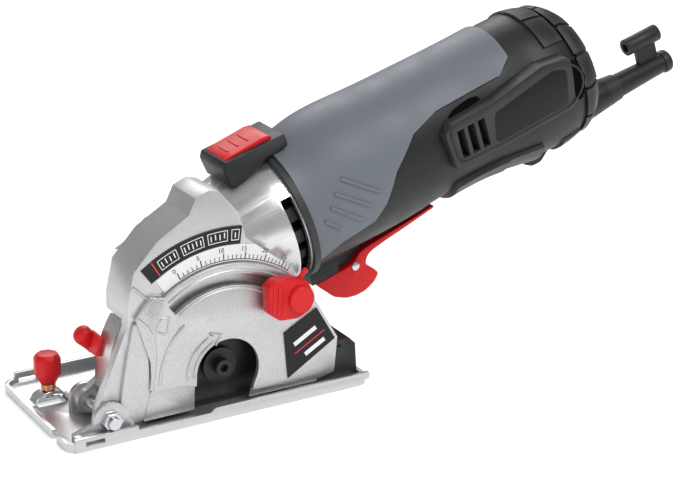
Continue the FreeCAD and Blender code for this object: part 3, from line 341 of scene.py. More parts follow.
FLOOR = Finish("studio_floor", (0.9, 0.9, 0.9), 0.0, (0.6, 0.7), 0.008, 60.0, 0.00001, 0.02)

# The body, material slot and finish of pieces, passed together.
HEAD_BLACK = (Part.HEAD, "black_plastic", BLACK)
# Head pieces in the near-black painted-shade finish.
HEAD_PAINTED_SHADE = (Part.HEAD, "black_plastic", PAINTED_SHADE)
HEAD_CAST = (Part.HEAD, "cast_aluminium", CAST)
BASE_CAST = (Part.BASE, "cast_aluminium", CAST)
KNOB_RED = (Part.DEPTH_KNOB, "red_plastic", RED)
LEVER_RED = (Part.FRONT_GUARD, "red_plastic", RED)
SLIDER_RED = (Part.SLIDER, "red_plastic", RED)
BASE_ZINC = (Part.BASE, "steel_zinc", ZINC)


class Shelf:
    """Keeps each finish as one material, made the first time it is used."""

    made: dict[str, bpy.types.Material] = {}

    @classmethod
    def get(cls, finish: Finish) -> bpy.types.Material:
        """The material of a finish.

        Args:
            finish: The finish.

        Returns:
            Its one material.
        """
        if finish.name not in cls.made:
            cls.made[finish.name] = finish.build()
        return cls.made[finish.name]


# ---------------------------------------------------------------- making pieces
def finish_piece(name: str, mesh_maker: Mesh, part: Part, slot: str, finish: Finish,
                 replaces: tuple[str, ...] = (), smooth: float = 40.0) -> bpy.types.Object:
    """Turns a bmesh into a dressed piece that rides on a body.

    Args:
        name: The piece's name.
        mesh_maker: The bmesh, which is freed.
        part: The body that it rides on.
        slot: The record's material slot; not used.
        finish: Its finish.
        replaces: CAD nodes that it stands for.
        smooth: The angle under which faces shade smooth, in degrees.

    Returns:
        The new object.
    """
    mesh = bpy.data.meshes.new(name)
    mesh_maker.to_mesh(mesh)
    mesh_maker.free()
    mesh.materials.append(Shelf.get(finish))
    mesh.shade_smooth()
    mesh.set_sharp_from_angle(angle=math.radians(smooth))
    piece = bpy.data.objects.new(name, mesh)
    bpy.context.scene.collection.objects.link(piece)
    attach(piece, part.value)
    if replaces:
        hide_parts(*replaces)
    LOG.info("%s: %d faces", name, len(mesh.polygons))
    return piece


def merged_copy(node: str) -> Mesh:
    """A joined-up copy of a CAD node's mesh with its flat faces made whole.

    Args:
        node: The CAD node.

    Returns:
        The copy as a bmesh.
    """
    maker = bmesh.new()
    maker.from_mesh(frame["nodes"][node].data)
    bmesh.ops.remove_doubles(maker, verts=maker.verts, dist=2e-6)
    bmesh.ops.dissolve_limit(maker, angle_limit=math.radians(0.6), use_dissolve_boundaries=False,
                             verts=maker.verts, edges=maker.edges, delimit=set())
    return maker


def soften(maker: Mesh, width: float, segments: int = 2, angle: float = 32.0) -> None:
    """Rounds every sharp edge of a mesh.

    Args:
        maker: The mesh, changed in place.
        width: The rounding's width in millimetres.
        segments: Steps across each rounding.
        angle: Edges sharper than this are rounded, in degrees.
    """
    limit = math.radians(angle)
    sharp = [edge for edge in maker.edges
             if len(edge.link_faces) == 2 and edge.calc_face_angle(0.0) > limit]
    bmesh.ops.bevel(maker, geom=sharp, offset=width * MM, segments=segments, profile=0.5, material=-1,
                    affect="EDGES", clamp_overlap=True)


def softened_node(node: str, part: Part, slot: str, finish: Finish, width: float,
                  segments: int = 2) -> bpy.types.Object:
    """A CAD node with its edges rounded, standing for that node.

    Args:
        node: The CAD node.
        part: The body that it rides on.
        slot: The record's material slot.
        finish: Its finish.
        width: The rounding's width in millimetres.
        segments: Steps across each rounding.

    Returns:
        The new object.
    """
    maker = merged_copy(node)
    soften(maker, width, segments)
    return finish_piece(node + "_shaped", maker, part, slot, finish, (node,))


def dress_node(node: str, finish: Finish) -> None:
    """Gives a CAD node that stays as it is its finish.

    Args:
        node: The CAD node.
        finish: Its finish.
    """
    mesh = frame["nodes"][node].data
    mesh.materials.clear()
    mesh.materials.append(Shelf.get(finish))


def swept(name: str, points: list[Vector], radius: float, part: Part, slot: str, finish: Finish,
          closed: bool = False) -> bpy.types.Object:
    """A round bead along points.

    Args:
        name: The piece's name.
        points: Its centre line.
        radius: Its radius in millimetres.
        part: The body that it rides on.
        slot: The record's material slot.
        finish: Its finish.
        closed: Whether it joins up with itself.

    Returns:
        The new object.
    """
    maker = bmesh.new()
    rings = []
    count = len(points)
    for index, point in enumerate(points):
        before = points[(index - 1) % count] if closed or index > 0 else point
        after = points[(index + 1) % count] if closed or index < count - 1 else point
        turn = (after - before).to_track_quat("Z", "Y").to_matrix().to_4x4()
        ring = bmesh.ops.create_circle(maker, cap_ends=False, segments=8, radius=radius * MM,
                                       matrix=Matrix.Translation(point) @ turn)
        rings.append(list({edge for vert in ring["verts"] for edge in vert.link_edges}))
    pairs = list(zip(rings, rings[1:])) + ([(rings[-1], rings[0])] if closed else [])
    for first, second in pairs:
        bmesh.ops.bridge_loops(maker, edges=first + second)
    if not closed:
        bmesh.ops.holes_fill(maker, edges=[edge for edge in maker.edges if edge.is_boundary], sides=8)
    bmesh.ops.recalc_face_normals(maker, faces=maker.faces)
    return finish_piece(name, maker, part, slot, finish, (), 60.0)


def prism(maker: Mesh, outline: list[Vector], push: Vector) -> None:
    """Adds a solid of the given outline, pushed along one direction.

    Args:
        maker: The mesh that it is added to.
        outline: Its corners in order.
        push: How far and which way it is extruded.
    """
    face = maker.faces.new([maker.verts.new(point) for point in outline])
    pushed = bmesh.ops.extrude_face_region(maker, geom=[face])
    moved = [item for item in pushed["geom"] if isinstance(item, bmesh.types.BMVert)]
    bmesh.ops.translate(maker, verts=moved, vec=push)


def rounded(corners: Outline, radius: float, steps: int = 4) -> list[tuple[float, float]]:
    """Rounds the corners of a closed outline.

    Args:
        corners: The outline's corners in order.
        radius: How far from each corner its rounding starts, in the outline's own units.
        steps: Spans in each rounding.

    Returns:
        The rounded outline.
    """
    line = []
    for index, corner in enumerate(corners):
        here = Vector(corner)
        back = Vector(corners[index - 1]) - here
        ahead = Vector(corners[(index + 1) % len(corners)]) - here
        start = here + back.normalized() * min(radius, back.length * 0.45)
        end = here + ahead.normalized() * min(radius, ahead.length * 0.45)
        for step in range(steps + 1):
            part = step / steps
            point = start.lerp(here, part).lerp(here.lerp(end, part), part)
            line.append((point.x, point.y))
    return line


def block(outline: Outline, near: float, far: float, edge: float, on_motor: bool = False,
          segments: int = 3) -> Mesh:
    """A solid with an outline in the side view and rounded rims, in millimetres.

    Args:
        outline: Its corners, X and Z, or along and up in the motor's frame.
        near: Y of its near face.
        far: Y of its far face, in the same frame.
        edge: How far its rims are rounded.
        on_motor: Whether it is drawn in the motor's frame.
        segments: Steps across each rounding.

    Returns:
        The solid.
    """
    maker = bmesh.new()
    face = maker.faces.new([maker.verts.new(Vector((x, near, z)) * MM) for x, z in outline])
    pushed = bmesh.ops.extrude_face_region(maker, geom=[face])
    moved = [item for item in pushed["geom"] if isinstance(item, bmesh.types.BMVert)]
    bmesh.ops.translate(maker, verts=moved, vec=Vector((0.0, far - near, 0.0)) * MM)
    bmesh.ops.recalc_face_normals(maker, faces=maker.faces)
    if edge > 0.0:
        soften(maker, edge, segments, 50.0)
    if on_motor:
        bmesh.ops.transform(maker, matrix=PLACES.motor_matrix(), verts=maker.verts)
    return maker


def turned(profile: Outline, sides: int, place: Matrix, edge: float = 0.0) -> Mesh:
    """A solid turned from a profile of radius and height, in millimetres.

    Args:
        profile: Radius and height pairs from one pole to the other.
        sides: Its number of sides.
        place: Where its axis stands, with z along it.
        edge: How far its edges are rounded.

    Returns:
        The solid.
    """
    maker = bmesh.new()
    verts = [maker.verts.new(Vector((radius, 0.0, height)) * MM) for radius, height in profile]
    edges = [maker.edges.new(pair) for pair in zip(verts, verts[1:])]
    bmesh.ops.spin(maker, geom=verts + edges, cent=(0.0, 0.0, 0.0), axis=(0.0, 0.0, 1.0), angle=math.tau,
                   steps=sides, use_merge=True, use_duplicate=False)
    bmesh.ops.remove_doubles(maker, verts=maker.verts, dist=1e-6)
    bmesh.ops.recalc_face_normals(maker, faces=maker.faces)
    if edge > 0.0:
        soften(maker, edge, 2, 24.0)
    bmesh.ops.transform(maker, matrix=place, verts=maker.verts)
    return maker


def skin_of(*nodes: str) -> BVHTree:
    """The outer surface of CAD nodes, for laying details on it.

    Args:
        nodes: The CAD nodes.

    Returns:
        The surface, which answers rays.
    """
    maker = bmesh.new()
    for node in nodes:
        maker.from_mesh(frame["nodes"][node].data)
    tree = BVHTree.FromBMesh(maker)
    maker.free()
    return tree


def flat_text(maker: Mesh, words: str, size: float, place: Matrix, thick: float) -> None:
    """Adds raised characters to a mesh.

    Args:
        maker: The mesh that they are added to.
        words: The characters.
        size: Their height in millimetres.
        place: Where the middle of the baseline sits, with z outwards.
        thick: How far they stand up, in millimetres.
    """
    curve = bpy.data.curves.new("characters", "FONT")
    curve.body = words
    curve.size = size * MM * 1.38
    curve.align_x = "CENTER"
    curve.extrude = thick * MM / 2.0
    curve.resolution_u = 4
    holder = bpy.data.objects.new("characters", curve)
    mesh = bpy.data.meshes.new_from_object(holder)
    mesh.transform(place)
    maker.from_mesh(mesh)
    bpy.data.objects.remove(holder)
    bpy.data.meshes.remove(mesh)
    bpy.data.curves.remove(curve)


# ---------------------------------------------------------------- sub-assemblies
@dataclass
class ArcBand:
    """A flat band that follows a circle about the spindle, on the near side.

    Attributes:
        inner: Inner radius in millimetres.
        outer: Outer radius in millimetres.
        start: First angle in degrees.
        end: Last angle in degrees.
        face: Y of the outer face in millimetres.
        thick: How far the band reaches behind its face, in millimetres.
    """

    inner: float
    outer: float
    start: float
    end: float
    face: float
    thick: float = 0.3

    def add_to(self, maker: Mesh) -> None:
        """Adds the band to a mesh as a closed solid.

        Args:
            maker: The mesh that it is added to.
        """
        corners = [PLACES.around(radius, self.start, self.face + depth)
                   for radius, depth in ((self.inner, 0.0), (self.outer, 0.0),
                                         (self.outer, self.thick), (self.inner, self.thick))]
        face = maker.faces.new([maker.verts.new(corner) for corner in corners])
        steps = max(2, int(abs(self.end - self.start) / 2.0))
        before = set(maker.faces)
        bmesh.ops.spin(maker, geom=[face], cent=PLACES.spindle, axis=(0.0, -1.0, 0.0), dvec=(0.0, 0.0, 0.0),
                       angle=math.radians(self.end - self.start), steps=steps, use_merge=False,
                       use_duplicate=False)
        fresh = [item for item in maker.faces if item not in before] + [face]
        bmesh.ops.recalc_face_normals(maker, faces=[item for item in fresh if item.is_valid])


@dataclass
class Castings:
    """The cast tray, guard, cover and gear head, with rounded edges and raised details."""

    edge: float = 0.55
    fine_edge: float = 0.3
    cover_face: float = -39.5
    bead: float = 0.8
    panel_corners: tuple[Outline, ...] = (
        ((-39.0, 64.0), (-34.0, 70.0), (-29.0, 66.0), (-33.0, 59.0)),
        ((-34.0, 52.0), (-31.0, 58.0), (-26.0, 58.0), (-28.0, 49.0)))
    arrow_radius: float = 20.8
    arrow_half: float = 1.9
    arrow_start: float = 178.0
    arrow_end: float = 112.0
    web: Outline = ((-53.5, 17.0), (-49.0, 40.0), (-45.0, 58.0), (-40.0, 58.0), (-37.2, 36.0), (-37.2, 20.0),
                    (-41.0, 6.0), (-48.0, 5.6))
    rail: Outline = ((-9.7, 3.0), (-5.2, 6.8), (84.0, 6.8), (84.0, 3.0))
    ribs: tuple[tuple[str, float, float, Outline], ...] = (
        ("cover_rim", 1.2, -38.9, ((-43.0, 60.2), (-38.6, 55.6), (-35.6, 50.0), (-34.4, 43.0), (-35.0, 34.0),
                                   (-37.0, 21.5))),
        ("ramp_rib", 1.9, -34.4, ((-24.0, 91.8), (-10.0, 95.6), (4.0, 99.4), (14.0, 102.0))),
        ("scale_fence", 0.8, -36.8, ((-44.0, 76.0), (-38.0, 70.0), (-31.0, 63.0))))

    def rim(self, name: str, radius: float, start: float, end: float) -> None:
        """Raises a bead along an arc of the cover's face.

        Args:
            name: The piece's name.
            radius: The arc's radius about the spindle, in millimetres.
            start: Its first angle in degrees.
            end: Its last angle in degrees.
        """
        steps = int(abs(end - start) / 3.0)
        points = [PLACES.around(radius, start + (end - start) * index / steps, self.cover_face)
                  for index in range(steps + 1)]
        swept(name, points, self.bead, *HEAD_CAST)

    def panels(self) -> None:
        """Outlines the two small panels at the cover's front with raised beads."""
        for number, corners in enumerate(self.panel_corners):
            points = [Vector((x, self.cover_face, z)) * MM for x, z in rounded(corners, 1.8)]
            swept(f"cover_panel_{number + 1}", points, 0.6, *HEAD_CAST, True)

    def slot_floor(self) -> None:
        """Closes the depth slot's bottom behind the sliding foot."""
        maker = bmesh.new()
        ArcBand(43.0, 54.0, 41.0, 129.0, -34.1, 0.6).add_to(maker)
        finish_piece("slot_floor", maker, *HEAD_CAST)

    def arm_web(self) -> None:
        """Fills the web between the front arm and the cover."""
        maker = block(rounded(self.web, 3.0), -38.6, -32.0, 0.9)
        finish_piece("arm_web", maker, *HEAD_CAST)

    def near_rail(self) -> None:
        """Raises the tray's near rail behind the blade window."""
        maker = block(rounded(self.rail, 0.8), -44.9, -42.8, 0.5)
        finish_piece("near_rail", maker, *BASE_CAST)

    def ramp_ribs(self) -> None:
        """Raises the ribs along the cover's left border, the guard's ramp and the scale's front end."""
        for name, radius, depth, places in self.ribs:
            line = [Vector((x, depth, z)) * MM for x, z in places]
            swept(name, line, radius, *HEAD_CAST)

    def arrow(self) -> None:
        """Outlines the arrow that shows which way the blade turns."""
        steps = 14
        span = self.arrow_end - self.arrow_start
        outer = [(self.arrow_radius + self.arrow_half, self.arrow_start + span * index / steps)
                 for index in range(steps + 1)]
        inner = [(self.arrow_radius - self.arrow_half, angle) for _, angle in reversed(outer)]
        head = [(self.arrow_radius + 2.0 * self.arrow_half, self.arrow_end + 1.5),
                (self.arrow_radius, self.arrow_end - 13.0),
                (self.arrow_radius - 2.0 * self.arrow_half, self.arrow_end + 1.5)]
        points = [PLACES.around(radius, angle, self.cover_face) for radius, angle in outer + head + inner]
        swept("turn_arrow", points, 0.7, *HEAD_CAST, True)

    def build(self) -> None:
        """Makes the castings."""
        softened_node("base_plate", *BASE_CAST, self.edge)
        softened_node("guard_housing", *HEAD_CAST, self.edge)
        softened_node("guard_cover", *HEAD_CAST, self.fine_edge)
        # The gear head's cone takes the lighter cast aluminium, a painted highlight.
        softened_node("gear_housing", Part.HEAD, "cast_aluminium", LIT_CAST, self.edge)
        self.rim("slot_rim_outer", 53.2, 45.0, 126.0)
        self.rim("slot_rim_inner", 43.8, 45.0, 126.0)
        self.rim("face_rim", 37.6, 128.0, 178.0)
        self.panels()
        self.slot_floor()
        self.arm_web()
        self.near_rail()
        self.ramp_ribs()
        self.arrow()


@dataclass
class Scale:
    """The printed depth scale and the labels on the guard."""

    zero_angle: float = 114.2
    step: float = 2.5
    closing: float = 0.0085
    face: float = -37.3
    lift: float = 0.06
    tick_base: float = 58.6
    number_size: float = 3.5
    film: float = 0.1
    last_mark: int = 27
    pictures_at: Outline = ((119.2, 110.4), (108.4, 98.6), (96.8, 88.0), (86.4, 82.9))
    rule: tuple[float, float, float, float] = (0.0, 0.55, 20.0, 0.0)
    bars: tuple[tuple[float, float, float, float], ...] = ((-4.6, 2.4, 14.5, -0.6), (4.2, 2.4, 13.0, 0.9))

    @property
    def print_y(self) -> float:
        """Y of the prints' outer face, in millimetres."""
        return self.face - self.lift

    def angle(self, depth: float) -> float:
        """Where a depth in millimetres reads on the scale, in degrees."""
        return self.zero_angle - self.step * depth + self.closing * depth * depth

    def ticks(self) -> None:
        """Prints a tick for each millimetre, longer at the fives."""
        maker = bmesh.new()
        for depth in range(self.last_mark + 1):
            long = depth % 5 == 0
            half = 0.28 if long else 0.2
            middle = self.angle(depth)
            ArcBand(self.tick_base, self.tick_base + (3.4 if long else 2.2), middle - half, middle + half,
                    self.print_y, self.film).add_to(maker)
        ArcBand(self.tick_base - 0.4, self.tick_base, self.angle(self.last_mark) - 0.3, self.zero_angle + 0.3,
                self.print_y, self.film).add_to(maker)
        finish_piece("scale_ticks", maker, Part.HEAD, "label_black", INK_BLACK)

    def numbers(self) -> None:
        """Prints the depth numbers outside the ticks."""
        maker = bmesh.new()
        for depth in range(0, 30, 5):
            angle = self.angle(depth) + (0.8 if depth < 10 else 1.2)
            place = PLACES.around(self.tick_base + 4.0, angle, self.print_y)
            up = (PLACES.around(1.0, angle, 0.0) - PLACES.around(0.0, angle, 0.0)).normalized()
            out = Vector((0.0, -1.0, 0.0))
            side = up.cross(out)
            turn = Matrix([[side[row], up[row], out[row]] for row in range(3)]).to_4x4()
            flat_text(maker, str(depth), self.number_size * 0.72, Matrix.Translation(place) @ turn, self.film)
        finish_piece("scale_numbers", maker, Part.HEAD, "label_black", INK_BLACK)

    def frame_box(self, maker: Mesh, inner: float, outer: float, start: float,
                  end: float) -> None:
        """Prints a box outline on the black label.

        Args:
            maker: The mesh that it is added to.
            inner: The box's inner radius in millimetres.
            outer: Its outer radius.
            start: Its first angle in degrees.
            end: Its last angle.
        """
        line, degree = 0.35, 0.28
        for low, high, first, last in ((inner, inner + line, start, end), (outer - line, outer, start, end),
                                       (inner + line, outer - line, start, start - degree),
                                       (inner + line, outer - line, end + degree, end)):
            ArcBand(low, high, first, last, self.print_y, self.film).add_to(maker)

    def pictures(self) -> None:
        """Prints the generic boxes for kinds of material, with slanted hatching."""
        maker = bmesh.new()
        for start, end in self.pictures_at:
            self.frame_box(maker, 68.2, 73.9, start, end)
            count = max(1, int((start - end) / 1.9))
            for index in range(count):
                middle = start - (start - end) * (index + 0.75) / (count + 0.5)
                low = 69.4 + 0.5 * (index % 2)
                ArcBand(low, low + 2.9, middle + 0.22, middle - 0.22, self.print_y, self.film).add_to(maker)
        finish_piece("label_pictures", maker, Part.HEAD, "label_black", INK_WHITE)
        maker = bmesh.new()
        ArcBand(66.6, 75.3, 121.4, 120.9, self.print_y, self.film).add_to(maker)
        finish_piece("label_stripe", maker, Part.HEAD, "label_black", INK_RED)

    def rating(self) -> None:
        """Prints a red rule and plain white bars on the rating plate."""
        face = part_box("rating_plate")[0][1] - self.lift * MM
        low, high = (Vector(corner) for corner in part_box("rating_plate"))
        centre = (low + high) / 2.0
        across = Vector((0.87, 0.0, 0.49))
        down = Vector((0.49, 0.0, -0.87))
        prints = (("rating_rule", INK_RED, (self.rule,)), ("rating_bars", INK_WHITE, self.bars))
        for name, finish, rows in prints:
            maker = bmesh.new()
            for offset, tall, wide, shift in rows:
                middle = centre + down * offset * MM + across * shift * MM
                corners = [middle + across * (sx * wide / 2 * MM) + down * (sz * tall / 2 * MM)
                           for sx, sz in ((-1, -1), (1, -1), (1, 1), (-1, 1))]
                for corner in corners:
                    corner.y = face
                prism(maker, corners, Vector((0.0, self.film * MM, 0.0)))
            bmesh.ops.recalc_face_normals(maker, faces=maker.faces)
            finish_piece(name, maker, Part.HEAD, "label_black", finish)

    def build(self) -> None:
        """Makes the printed films."""
        self.ticks()
        self.numbers()
        self.pictures()
        self.rating()


@dataclass
class GuideClamp:
    """The sprung clamp for a parallel guide at the front of the tray."""

    spring_turns: int = 4
    spring_radius: float = 3.3
    wire: float = 0.55
    steps_a_turn: int = 20
    sheet: float = 1.5
    knob_sides: int = 8
    knob_turn: float = 12.0

    def spring(self) -> None:
        """Winds the copper-coloured spring round the screw."""
        low, high = (Vector(corner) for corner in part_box("guide_spring"))
        centre = (low + high) / 2.0
        steps = self.spring_turns * self.steps_a_turn
        rise = (high.z - low.z) - 2 * self.wire * MM
        points = []
        for index in range(steps + 1):
            angle = math.tau * index / self.steps_a_turn
            points.append(Vector((centre.x + self.spring_radius * MM * math.cos(angle),
                                  centre.y + self.spring_radius * MM * math.sin(angle),
                                  low.z + self.wire * MM + rise * index / steps)))
        piece = swept("clamp_spring", points, self.wire, Part.BASE, "spring_steel", COPPER)
        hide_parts("guide_spring")

    def bridge(self) -> None:
        """Bends the sprung bridge in an arch with flat feet."""
        low, high = (Vector(corner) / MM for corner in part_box("guide_bridge"))
        middle = (low.x + high.x) / 2.0
        half = (high.x - low.x) / 2.0
        line = [(-half, 0.0), (-half + 2.6, 0.0)]
        line += [(-(half - 3.2) * math.cos(math.pi * index / 12), (high.z - low.z - self.sheet)
                  * math.sin(math.pi * index / 12) ** 0.8) for index in range(1, 12)]
        line += [(half - 2.6, 0.0), (half, 0.0)]
        top = [(x, z + self.sheet) for x, z in reversed(line)]
        arch = block([(middle + x, low.z + z) for x, z in line + top], low.y, high.y, 0.15, False, 1)
        finish_piece("bridge_arch", arch, *BASE_ZINC, ("guide_bridge",), CRISP)

    def knob(self) -> None:
        """Turns the eight-sided knob with its waist and crown."""
        low, high = (Vector(corner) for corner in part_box("guide_knob"))
        centre = (low + high) / 2.0
        tall = (high.z - low.z) / MM
        wide = (high.x - low.x) / 2.0 / MM
        profile = [(0.0, 0.0), (wide - 2.6, 0.0), (wide - 2.2, 1.4), (wide, 4.4), (wide, tall - 2.2),
                   (wide - 1.6, tall), (0.0, tall)]
        turn = Matrix.Rotation(math.radians(self.knob_turn), 4, "Z")
        maker = turned(profile, self.knob_sides, Matrix.Translation((centre.x, centre.y, low.z)) @ turn, 0.55)
        finish_piece("clamp_knob_shaped", maker, Part.CLAMP_KNOB, "red_plastic", RED, ("guide_knob",), CRISP)

    def build(self) -> None:
        """Makes the clamp."""
        self.spring()
        self.bridge()
        self.knob()


@dataclass
class MotorBody:
    """The black casing, its grey grip, pods, switch and trigger."""

    rib_ends: tuple[Outline, ...] = (
        ((92.2, 18.1), (109.7, 3.0)), ((86.2, 12.8), (103.5, -2.3)),
        ((81.5, 7.3), (96.9, -7.7)), ((76.4, 1.8), (83.8, -6.2)))
    rib_radius: float = 1.1
    grip_border: Outline = ((84.7, -16.0), (104.0, -13.0), (112.0, -6.0), (122.0, 8.0), (139.0, 21.0),
                            (156.0, 25.5), (197.0, 26.4), (205.0, 28.8), (209.5, 33.0))
    border_radius: float = 0.45
    tread_rows: tuple[tuple[float, float], ...] = ((229.0, 241.5), (243.5, 255.0))
    tread_count: int = 12
    tread_height: float = 1.6
    belly_pads: tuple[tuple[float, float, float, int], ...] = ((158.0, 192.0, 3.2, 6), (192.0, 214.0, 2.4, 4))
    belly_angles: tuple[float, float] = (128.0, 232.0)
    foot: Outline = ((207.0, -36.0), (212.0, -41.0), (216.0, -43.6), (222.0, -43.6), (231.0, -37.0))
    # Painted shade above and below each pod's front, where it meets the casing: each strip is two rows of
    # points, along and up.
    inlets: tuple[tuple[Outline, Outline], ...] = (
        (((159.5, 17.4), (165.0, 18.3), (171.0, 19.1), (177.0, 19.9), (182.5, 20.5)),
         ((161.5, 20.2), (165.0, 21.8), (171.0, 22.8), (177.0, 23.4), (181.0, 22.6))),
        (((159.0, -8.4), (165.0, -8.8), (171.0, -9.2), (177.0, -9.6), (180.5, -9.8)),
         ((160.0, -6.0), (165.0, -6.3), (171.0, -6.7), (177.0, -7.0), (182.0, -7.3))))
    # Outline of the near-black plate of painted shade for the inside of the pod's rear slot.
    rear_slot: Outline = ((236.0, 21.0), (240.0, 17.0), (242.5, 8.5), (240.0, -0.5), (236.5, -3.5),
                          (234.0, -0.5), (235.5, 11.0))
    badge: Outline = ((181.0, -3.2), (229.0, -2.2), (232.5, 16.5), (224.0, 20.0), (184.0, 13.2))
    pod_rim: Outline = ((156.0, 16.8), (157.5, -4.2), (186.0, -5.2), (231.0, -4.4), (240.4, 3.0),
                        (241.2, 12.6), (233.0, 21.0), (218.0, 23.0), (186.5, 18.0), (159.0, 17.2))
    seat: Outline = ((41.2, 41.5), (42.4, 31.2), (45.2, 30.2), (50.0, 30.4), (57.0, 33.0), (64.0, 36.5),
                     (78.8, 38.0), (78.8, 44.8), (43.2, 44.8))
    crown: Outline = ((45.0, 43.8), (45.0, 45.4), (50.0, 46.0), (60.0, 46.6), (68.0, 47.1), (71.5, 46.6),
                      (72.5, 45.2), (72.5, 43.8))
    slider_ribs: Outline = ((50.0, 46.0), (56.0, 46.35), (62.0, 46.75))
    paddle: Outline = (
        (72.8, -44.6), (75.1, -48.9), (80.3, -56.5), (86.6, -60.6), (92.5, -62.2), (98.6, -62.2),
        (104.9, -60.0), (109.0, -56.4), (106.4, -51.8), (103.2, -49.2), (103.8, -45.8), (105.9, -43.5),
        (109.1, -42.2), (119.3, -40.7), (132.0, -39.4), (151.0, -37.0), (151.4, -35.6), (134.6, -37.0),
        (118.0, -38.0), (105.8, -39.0), (101.5, -39.9), (97.6, -43.2), (92.0, -44.6))
    pin_head: Outline = ((0.0, 1.1), (1.3, 1.0), (2.2, 0.5), (2.5, -0.3), (0.0, -0.3))

    def laid_line(self, tree: BVHTree, start: tuple[float, float], end: tuple[float, float], side: int,
                  steps: int = 12) -> list[Vector]:
        """A straight line in the side view, laid on the skin.

        Args:
            tree: The skin.
            start: Its first end, along and up from the motor's axis.
            end: Its last end.
            side: -1 for the near side, 1 for the far side.
            steps: How many spans it has.

        Returns:
            Points on the skin.
        """
        points = []
        for index in range(steps + 1):
            along = start[0] + (end[0] - start[0]) * index / steps
            up = start[1] + (end[1] - start[1]) * index / steps
            ray_start = PLACES.on_motor(along, 80.0 * side, up)
            hit, _, _, _ = tree.ray_cast(ray_start, Vector((0.0, -side, 0.0)))
            if hit is not None:
                points.append(hit)
        return points

    def grip_ribs(self) -> None:
        """Raises four slanting ribs on each side of the grip."""
        tree = skin_of("soft_grip")
        for side, word in SIDES:
            for number, (start, end) in enumerate(self.rib_ends):
                line = self.laid_line(tree, start, end, side)
                swept(f"grip_rib_{word}_{number + 1}", line, self.rib_radius, Part.HEAD, "grip_rubber", GREY)

    def grip_edge(self) -> None:
        """Lays a thin bead along the grip's lower and rear edge, on both sides."""
        tree = skin_of("soft_grip", "motor_housing_left", "motor_housing_right", "side_pod_left",
                       "side_pod_right")
        for side, word in SIDES:
            line: list[Vector] = []
            for start, end in zip(self.grip_border, self.grip_border[1:]):
                span = math.hypot(end[0] - start[0], end[1] - start[1])
                laid = self.laid_line(tree, start, end, side, max(2, int(span / 2.5)))
                line += laid if not line else laid[1:]
            swept(f"grip_edge_{word}", line, self.border_radius, *HEAD_BLACK)

    def treads(self) -> None:
        """Raises the rubber blocks round the rear of the casing, the front row only above and below."""
        tree = skin_of("rear_bumper", "motor_housing_left", "motor_housing_right")
        pitch = 360.0 / self.tread_count
        for row, span in enumerate(self.tread_rows):
            maker = bmesh.new()
            for index in range(self.tread_count):
                low = -165.0 + pitch * (index + 0.5 * row)
                if row == 0 and abs(math.sin(math.radians(low + pitch / 2.0))) > 0.8:
                    continue
                self.pad(maker, tree, span, (low, low + pitch - 3.0), self.tread_height)
            finish_piece(f"rear_treads_{row + 1}", maker, *HEAD_BLACK)

    def belly(self) -> None:
        """Thickens the casing's underside behind the trigger and adds the small foot at its rear."""
        tree = skin_of("rear_bumper", "motor_housing_left", "motor_housing_right")
        maker = bmesh.new()
        for start, end, thick, spans in self.belly_pads:
            self.pad(maker, tree, (start, end), self.belly_angles, thick, (spans, 20))
        finish_piece("casing_belly", maker, *HEAD_BLACK)
        maker = block(rounded(self.foot, 1.5), -9.0, 9.0, 1.0, True)
        finish_piece("casing_foot", maker, *HEAD_BLACK)

    def recesses(self) -> None:
        """Lays near-black patches of painted shade above and below each pod's front, where it meets the
        casing, and a near-black plate of painted shade for the slot in its rear.
        """
        tree = skin_of("motor_housing_left", "motor_housing_right", "soft_grip")
        for side, word in SIDES:
            maker = bmesh.new()
            for strip in self.inlets:
                rows = []
                for line in strip:
                    hits = [self.laid_line(tree, point, point, side, 1)[0] for point in line]
                    rows.append([maker.verts.new(hit + Vector((0.0, 0.5 * side * MM, 0.0))) for hit in hits])
                patch = [maker.faces.new((a, b, c, d)) for a, b, c, d in
                         zip(rows[0], rows[0][1:], rows[1][1:], rows[1])]
                bmesh.ops.recalc_face_normals(maker, faces=patch)
                if patch[0].normal.y * side < 0.0:
                    bmesh.ops.reverse_faces(maker, faces=patch)
                bmesh.ops.solidify(maker, geom=patch, thickness=0.9 * MM)
            # Near-black patches of painted shade where each pod's front meets the casing.
            finish_piece(f"painted_pod_shade_{word}", maker, *HEAD_PAINTED_SHADE)
            # A near-black plate of painted shade for the inside of the pod's rear slot.
            maker = self.pod_plate(self.rear_slot, side, 0.2, 0.1)
            finish_piece(f"rear_slot_{word}", maker, *HEAD_PAINTED_SHADE)

    def pod_face(self, side: int) -> float:
        """Y of a pod's outer face in the motor's frame, in millimetres."""
        low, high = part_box("side_pod_" + dict(SIDES)[side])
        return (low if side < 0 else high)[1] / MM - PLACES.motor.y / MM

    def pod_plate(self, outline: Outline, side: int, proud: float, edge: float) -> Mesh:
        """A thin plate let into a pod's outer face.

        Args:
            outline: Its corners, along and up in the motor's frame.
            side: -1 for the near side, 1 for the far side.
            proud: How far it stands out of the face, in millimetres.
            edge: How far its rims are rounded.

        Returns:
            The plate.
        """
        face = self.pod_face(side)
        near, far = sorted((face + side * proud, face - side * 0.6))
        return block(outline, near, far, edge, True)

